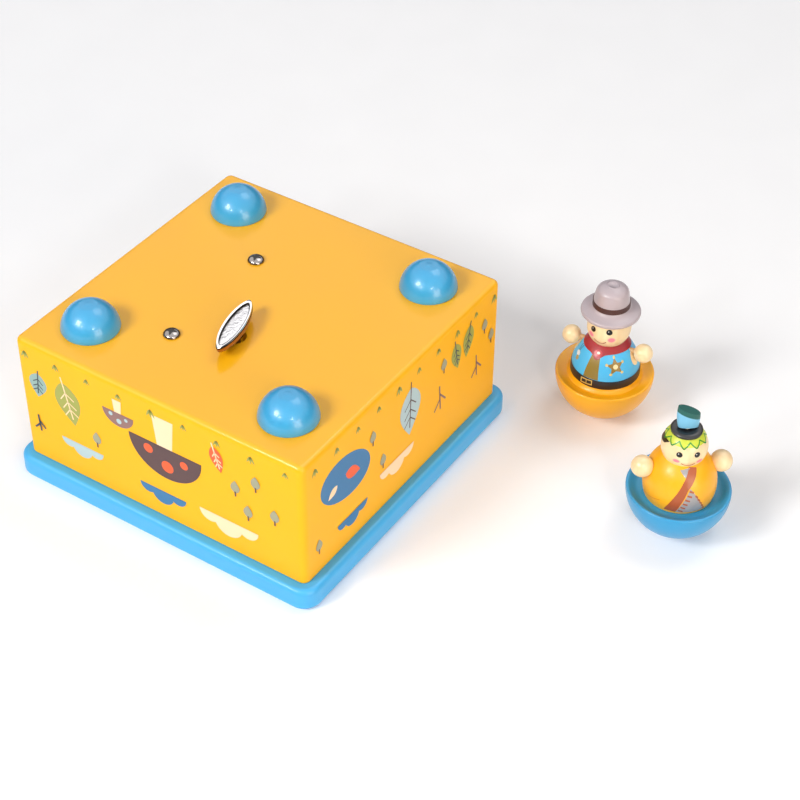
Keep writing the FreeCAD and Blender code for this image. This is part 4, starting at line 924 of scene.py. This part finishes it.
side_lock = [(-116, 32.2), (-80, 33.0), (-64, 34.3), (-116, 34.4)]
scout_face.append((on_arc(HEAD_RADIUS, side_lock), srgb(20, 18, 18)))
on_scout_head = around_axis(SCOUT_AT, SCOUT_FACING, head_radius(SCOUT_HEAD_LEVEL), HEAD_RADIUS)
add_piece(inked("scout_face_paint", scout_face, on_scout_head, FACE_STEP), "scout", figure_ink)
zigzag = [(-180 + 18 * k, 33.9 if k % 2 else 35.5) for k in range(21)]
lime_band = [(strip, srgb(206, 218, 62)) for strip in band(lambda u: 34.35, lambda u: 36.1, CROWN)]
lime_band += [(stroke(on_arc(CROWN, zigzag[k:k + 2]), 0.34), srgb(40, 140, 40)) for k in range(20)]
on_crown = around_axis(SCOUT_AT, SCOUT_FACING, head_radius(SCOUT_HEAD_LEVEL, 0.1), CROWN)
headband = inked("scout_headband_paint", lime_band, on_crown, FINE_STEP)
add_piece(headband, "scout", figure_ink, ["scout_headband"])
hair_profile = [(4.0, 35.9), (4.45, 36.2), (4.5, 36.8), (4.1, 37.25)]
hair_profile += [(3.4, 37.35), (2.6, 37.3), (ON_AXIS, 37.3)]
hair_black = painted("hair_black", srgb(24, 22, 24), 0.3)
hair_ring = turned("scout_hair_ring", hair_profile, SCOUT_AT)
add_piece(hair_ring, "scout", hair_black, ["scout_hair"])
turn_to_front = Matrix.Rotation(math.radians(SCOUT_FACING), 3, "Z")
lean = turn_to_front @ Matrix.Rotation(math.radians(PLUME_LEAN), 3, "Y") @ Vector((0, 0, 1))
plume_tip = Vector((SCOUT_AT[0], SCOUT_AT[1], SCOUT_HEAD_LEVEL + HEAD_RADIUS + PLUME_RISE))
dark_edge = (lean, lean.dot(plume_tip) / PER_METRE - PLUME_EDGE, PLUME_FADE)
plume_blue = painted("plume_blue", srgb(120, 190, 224), 0.4, second=srgb(14, 92, 84), split=dark_edge)
dress(plume_blue, "scout_plume")

# The floor is a white sweep lit by a large soft box high on the left, a fill on the right and a pale sky.
# It is lifted a little for the camera and for reflections, as the photo's overexposed table is.
# Reflections see a room that is white above and dark low down.
FLOOR_WHITE, FLOOR_HALF, FLOOR_LEVEL, FLOOR_LIFT = (0.93, 0.93, 0.94, 1), 3, -0.0001, 0.12
SKY_TINT, SKY_STRENGTH = (0.93, 0.94, 1.0, 1), 0.26
ROOM_STRENGTH, ROOM_WHITE_FROM = 1.6, 0.5
ROOM_DARK, ROOM_DARK_TO = (0.03, 0.03, 0.035, 1), 0.3
WHITE = (1, 1, 1, 1)
floor_mesh = bpy.data.meshes.new("floor")
floor_signs = ((-1, -1), (1, -1), (1, 1), (-1, 1))
floor_corners = [(x * FLOOR_HALF, y * FLOOR_HALF, FLOOR_LEVEL) for x, y in floor_signs]
floor_mesh.from_pydata(floor_corners, [], [(0, 1, 2, 3)])
floor = put("floor", floor_mesh)
floor_white = painted("floor_white", FLOOR_WHITE, 0.7, 0.0, 0.0)
floor_tree = floor_white.node_tree
floor_shader = floor_tree.nodes["Principled BSDF"]
floor_ray = floor_tree.nodes.new("ShaderNodeLightPath")
shone = floor_tree.nodes.new("ShaderNodeMath")
shone.operation = "MAXIMUM"
passed = floor_tree.nodes.new("ShaderNodeMath")
passed.operation = "MAXIMUM"
lifted = floor_tree.nodes.new("ShaderNodeMath")
lifted.operation = "MULTIPLY"
preset(lifted, {1: FLOOR_LIFT})
preset(floor_shader, {"Emission Color": WHITE})
join(
    floor_tree,
    (floor_ray, "Is Camera Ray", shone, 0),
    (floor_ray, "Is Glossy Ray", shone, 1),
    (shone, "Value", passed, 0),
    (floor_ray, "Is Transmission Ray", passed, 1),
    (passed, "Value", lifted, 0),
    (lifted, "Value", floor_shader, "Emission Strength"),
)
floor_mesh.materials.append(floor_white)
world = bpy.data.worlds.new("pale_sky")
world.use_nodes = True
sky_tree = world.node_tree
sky = sky_tree.nodes["Background"]
room = sky_tree.nodes.new("ShaderNodeBackground")
sky_ray = sky_tree.nodes.new("ShaderNodeLightPath")
choose = sky_tree.nodes.new("ShaderNodeMixShader")
facing = sky_tree.nodes.new("ShaderNodeTexCoord")
height = sky_tree.nodes.new("ShaderNodeSeparateXYZ")
bands = sky_tree.nodes.new("ShaderNodeValToRGB")
dark_end, white_end = bands.color_ramp.elements
dark_end.position = ROOM_DARK_TO
dark_end.color = ROOM_DARK
white_end.position = ROOM_WHITE_FROM
white_end.color = WHITE
preset(sky, {"Color": SKY_TINT, "Strength": SKY_STRENGTH})
preset(room, {"Strength": ROOM_STRENGTH})
join(
    sky_tree,
    (facing, "Generated", height, "Vector"),
    (height, "Z", bands, "Fac"),
    (bands, "Color", room, "Color"),
    (sky_ray, "Is Glossy Ray", choose, "Fac"),
    (sky, "Background", choose, 1),
    (room, "Background", choose, 2),
    (choose, "Shader", sky_tree.nodes["World Output"], "Surface"),
)
bpy.context.scene.world = world
# Each lamp is its place, what it points at, its size and power, and its tint.
for name, place, target, size, power, tint in (
    ("key_softbox", (-0.44, -1.03, 0.95), (0, 0, 0.02), 0.42, 12.4, (1, 0.99, 0.97)),
    ("top_softbox", (0.35, 0.85, 1.7), (0.15, 0.5, 0), 0.9, 7.5, (1, 1, 1)),
    ("right_fill", (1.0, -0.42, 0.26), (0.03, 0.02, 0.02), 0.5, 5.2, (1, 0.86, 0.7)),
    ("lens_side_left", (0.0, -0.75, 0.55), (0, 0, 0.05), 0.09, 1.0, (1, 1, 1)),
    ("lens_side_right", (0.55, -0.45, 0.5), (0, 0, 0.05), 0.09, 0.8, (1, 1, 1)),
):
    lamp = bpy.data.lights.new(name, "AREA")
    lamp.size = size
    lamp.energy = power
    lamp.color = tint
    light = put(name, lamp)
    light.location = place
    light.rotation_euler = (Vector(target) - Vector(place)).to_track_quat("-Z", "Y").to_euler()

# The camera is where the photo was taken from, looking down at the corner of the box.
# Its angles, distance and lens were fitted to the photo.
SENSOR_WIDTH, LENS = 36, 85.49
CAMERA_AZIMUTH, CAMERA_ELEVATION, CAMERA_ROLL = 33.004, 40.655, 0.665
CAMERA_TARGET, CAMERA_DISTANCE = (0.02317, 0.03693, 0), 0.58695
camera_data = bpy.data.cameras.new("camera")
camera_data.sensor_width = SENSOR_WIDTH
camera_data.lens = LENS
camera = put("camera", camera_data)
azimuth, elevation, roll = (math.radians(a) for a in (CAMERA_AZIMUTH, CAMERA_ELEVATION, CAMERA_ROLL))
level = math.cos(elevation)
back = Vector((math.sin(azimuth) * level, -math.cos(azimuth) * level, math.sin(elevation)))
right = Vector((math.cos(azimuth), math.sin(azimuth), 0))
up = back.cross(right)
across = math.cos(roll) * right + math.sin(roll) * up
upward = -math.sin(roll) * right + math.cos(roll) * up
camera_place = Matrix.Translation(Vector(CAMERA_TARGET) + CAMERA_DISTANCE * back)
camera.matrix_world = camera_place @ Matrix((across, upward, back)).transposed().to_4x4()
bpy.context.scene.camera = camera
bpy.context.scene.view_settings.view_transform = "Standard"
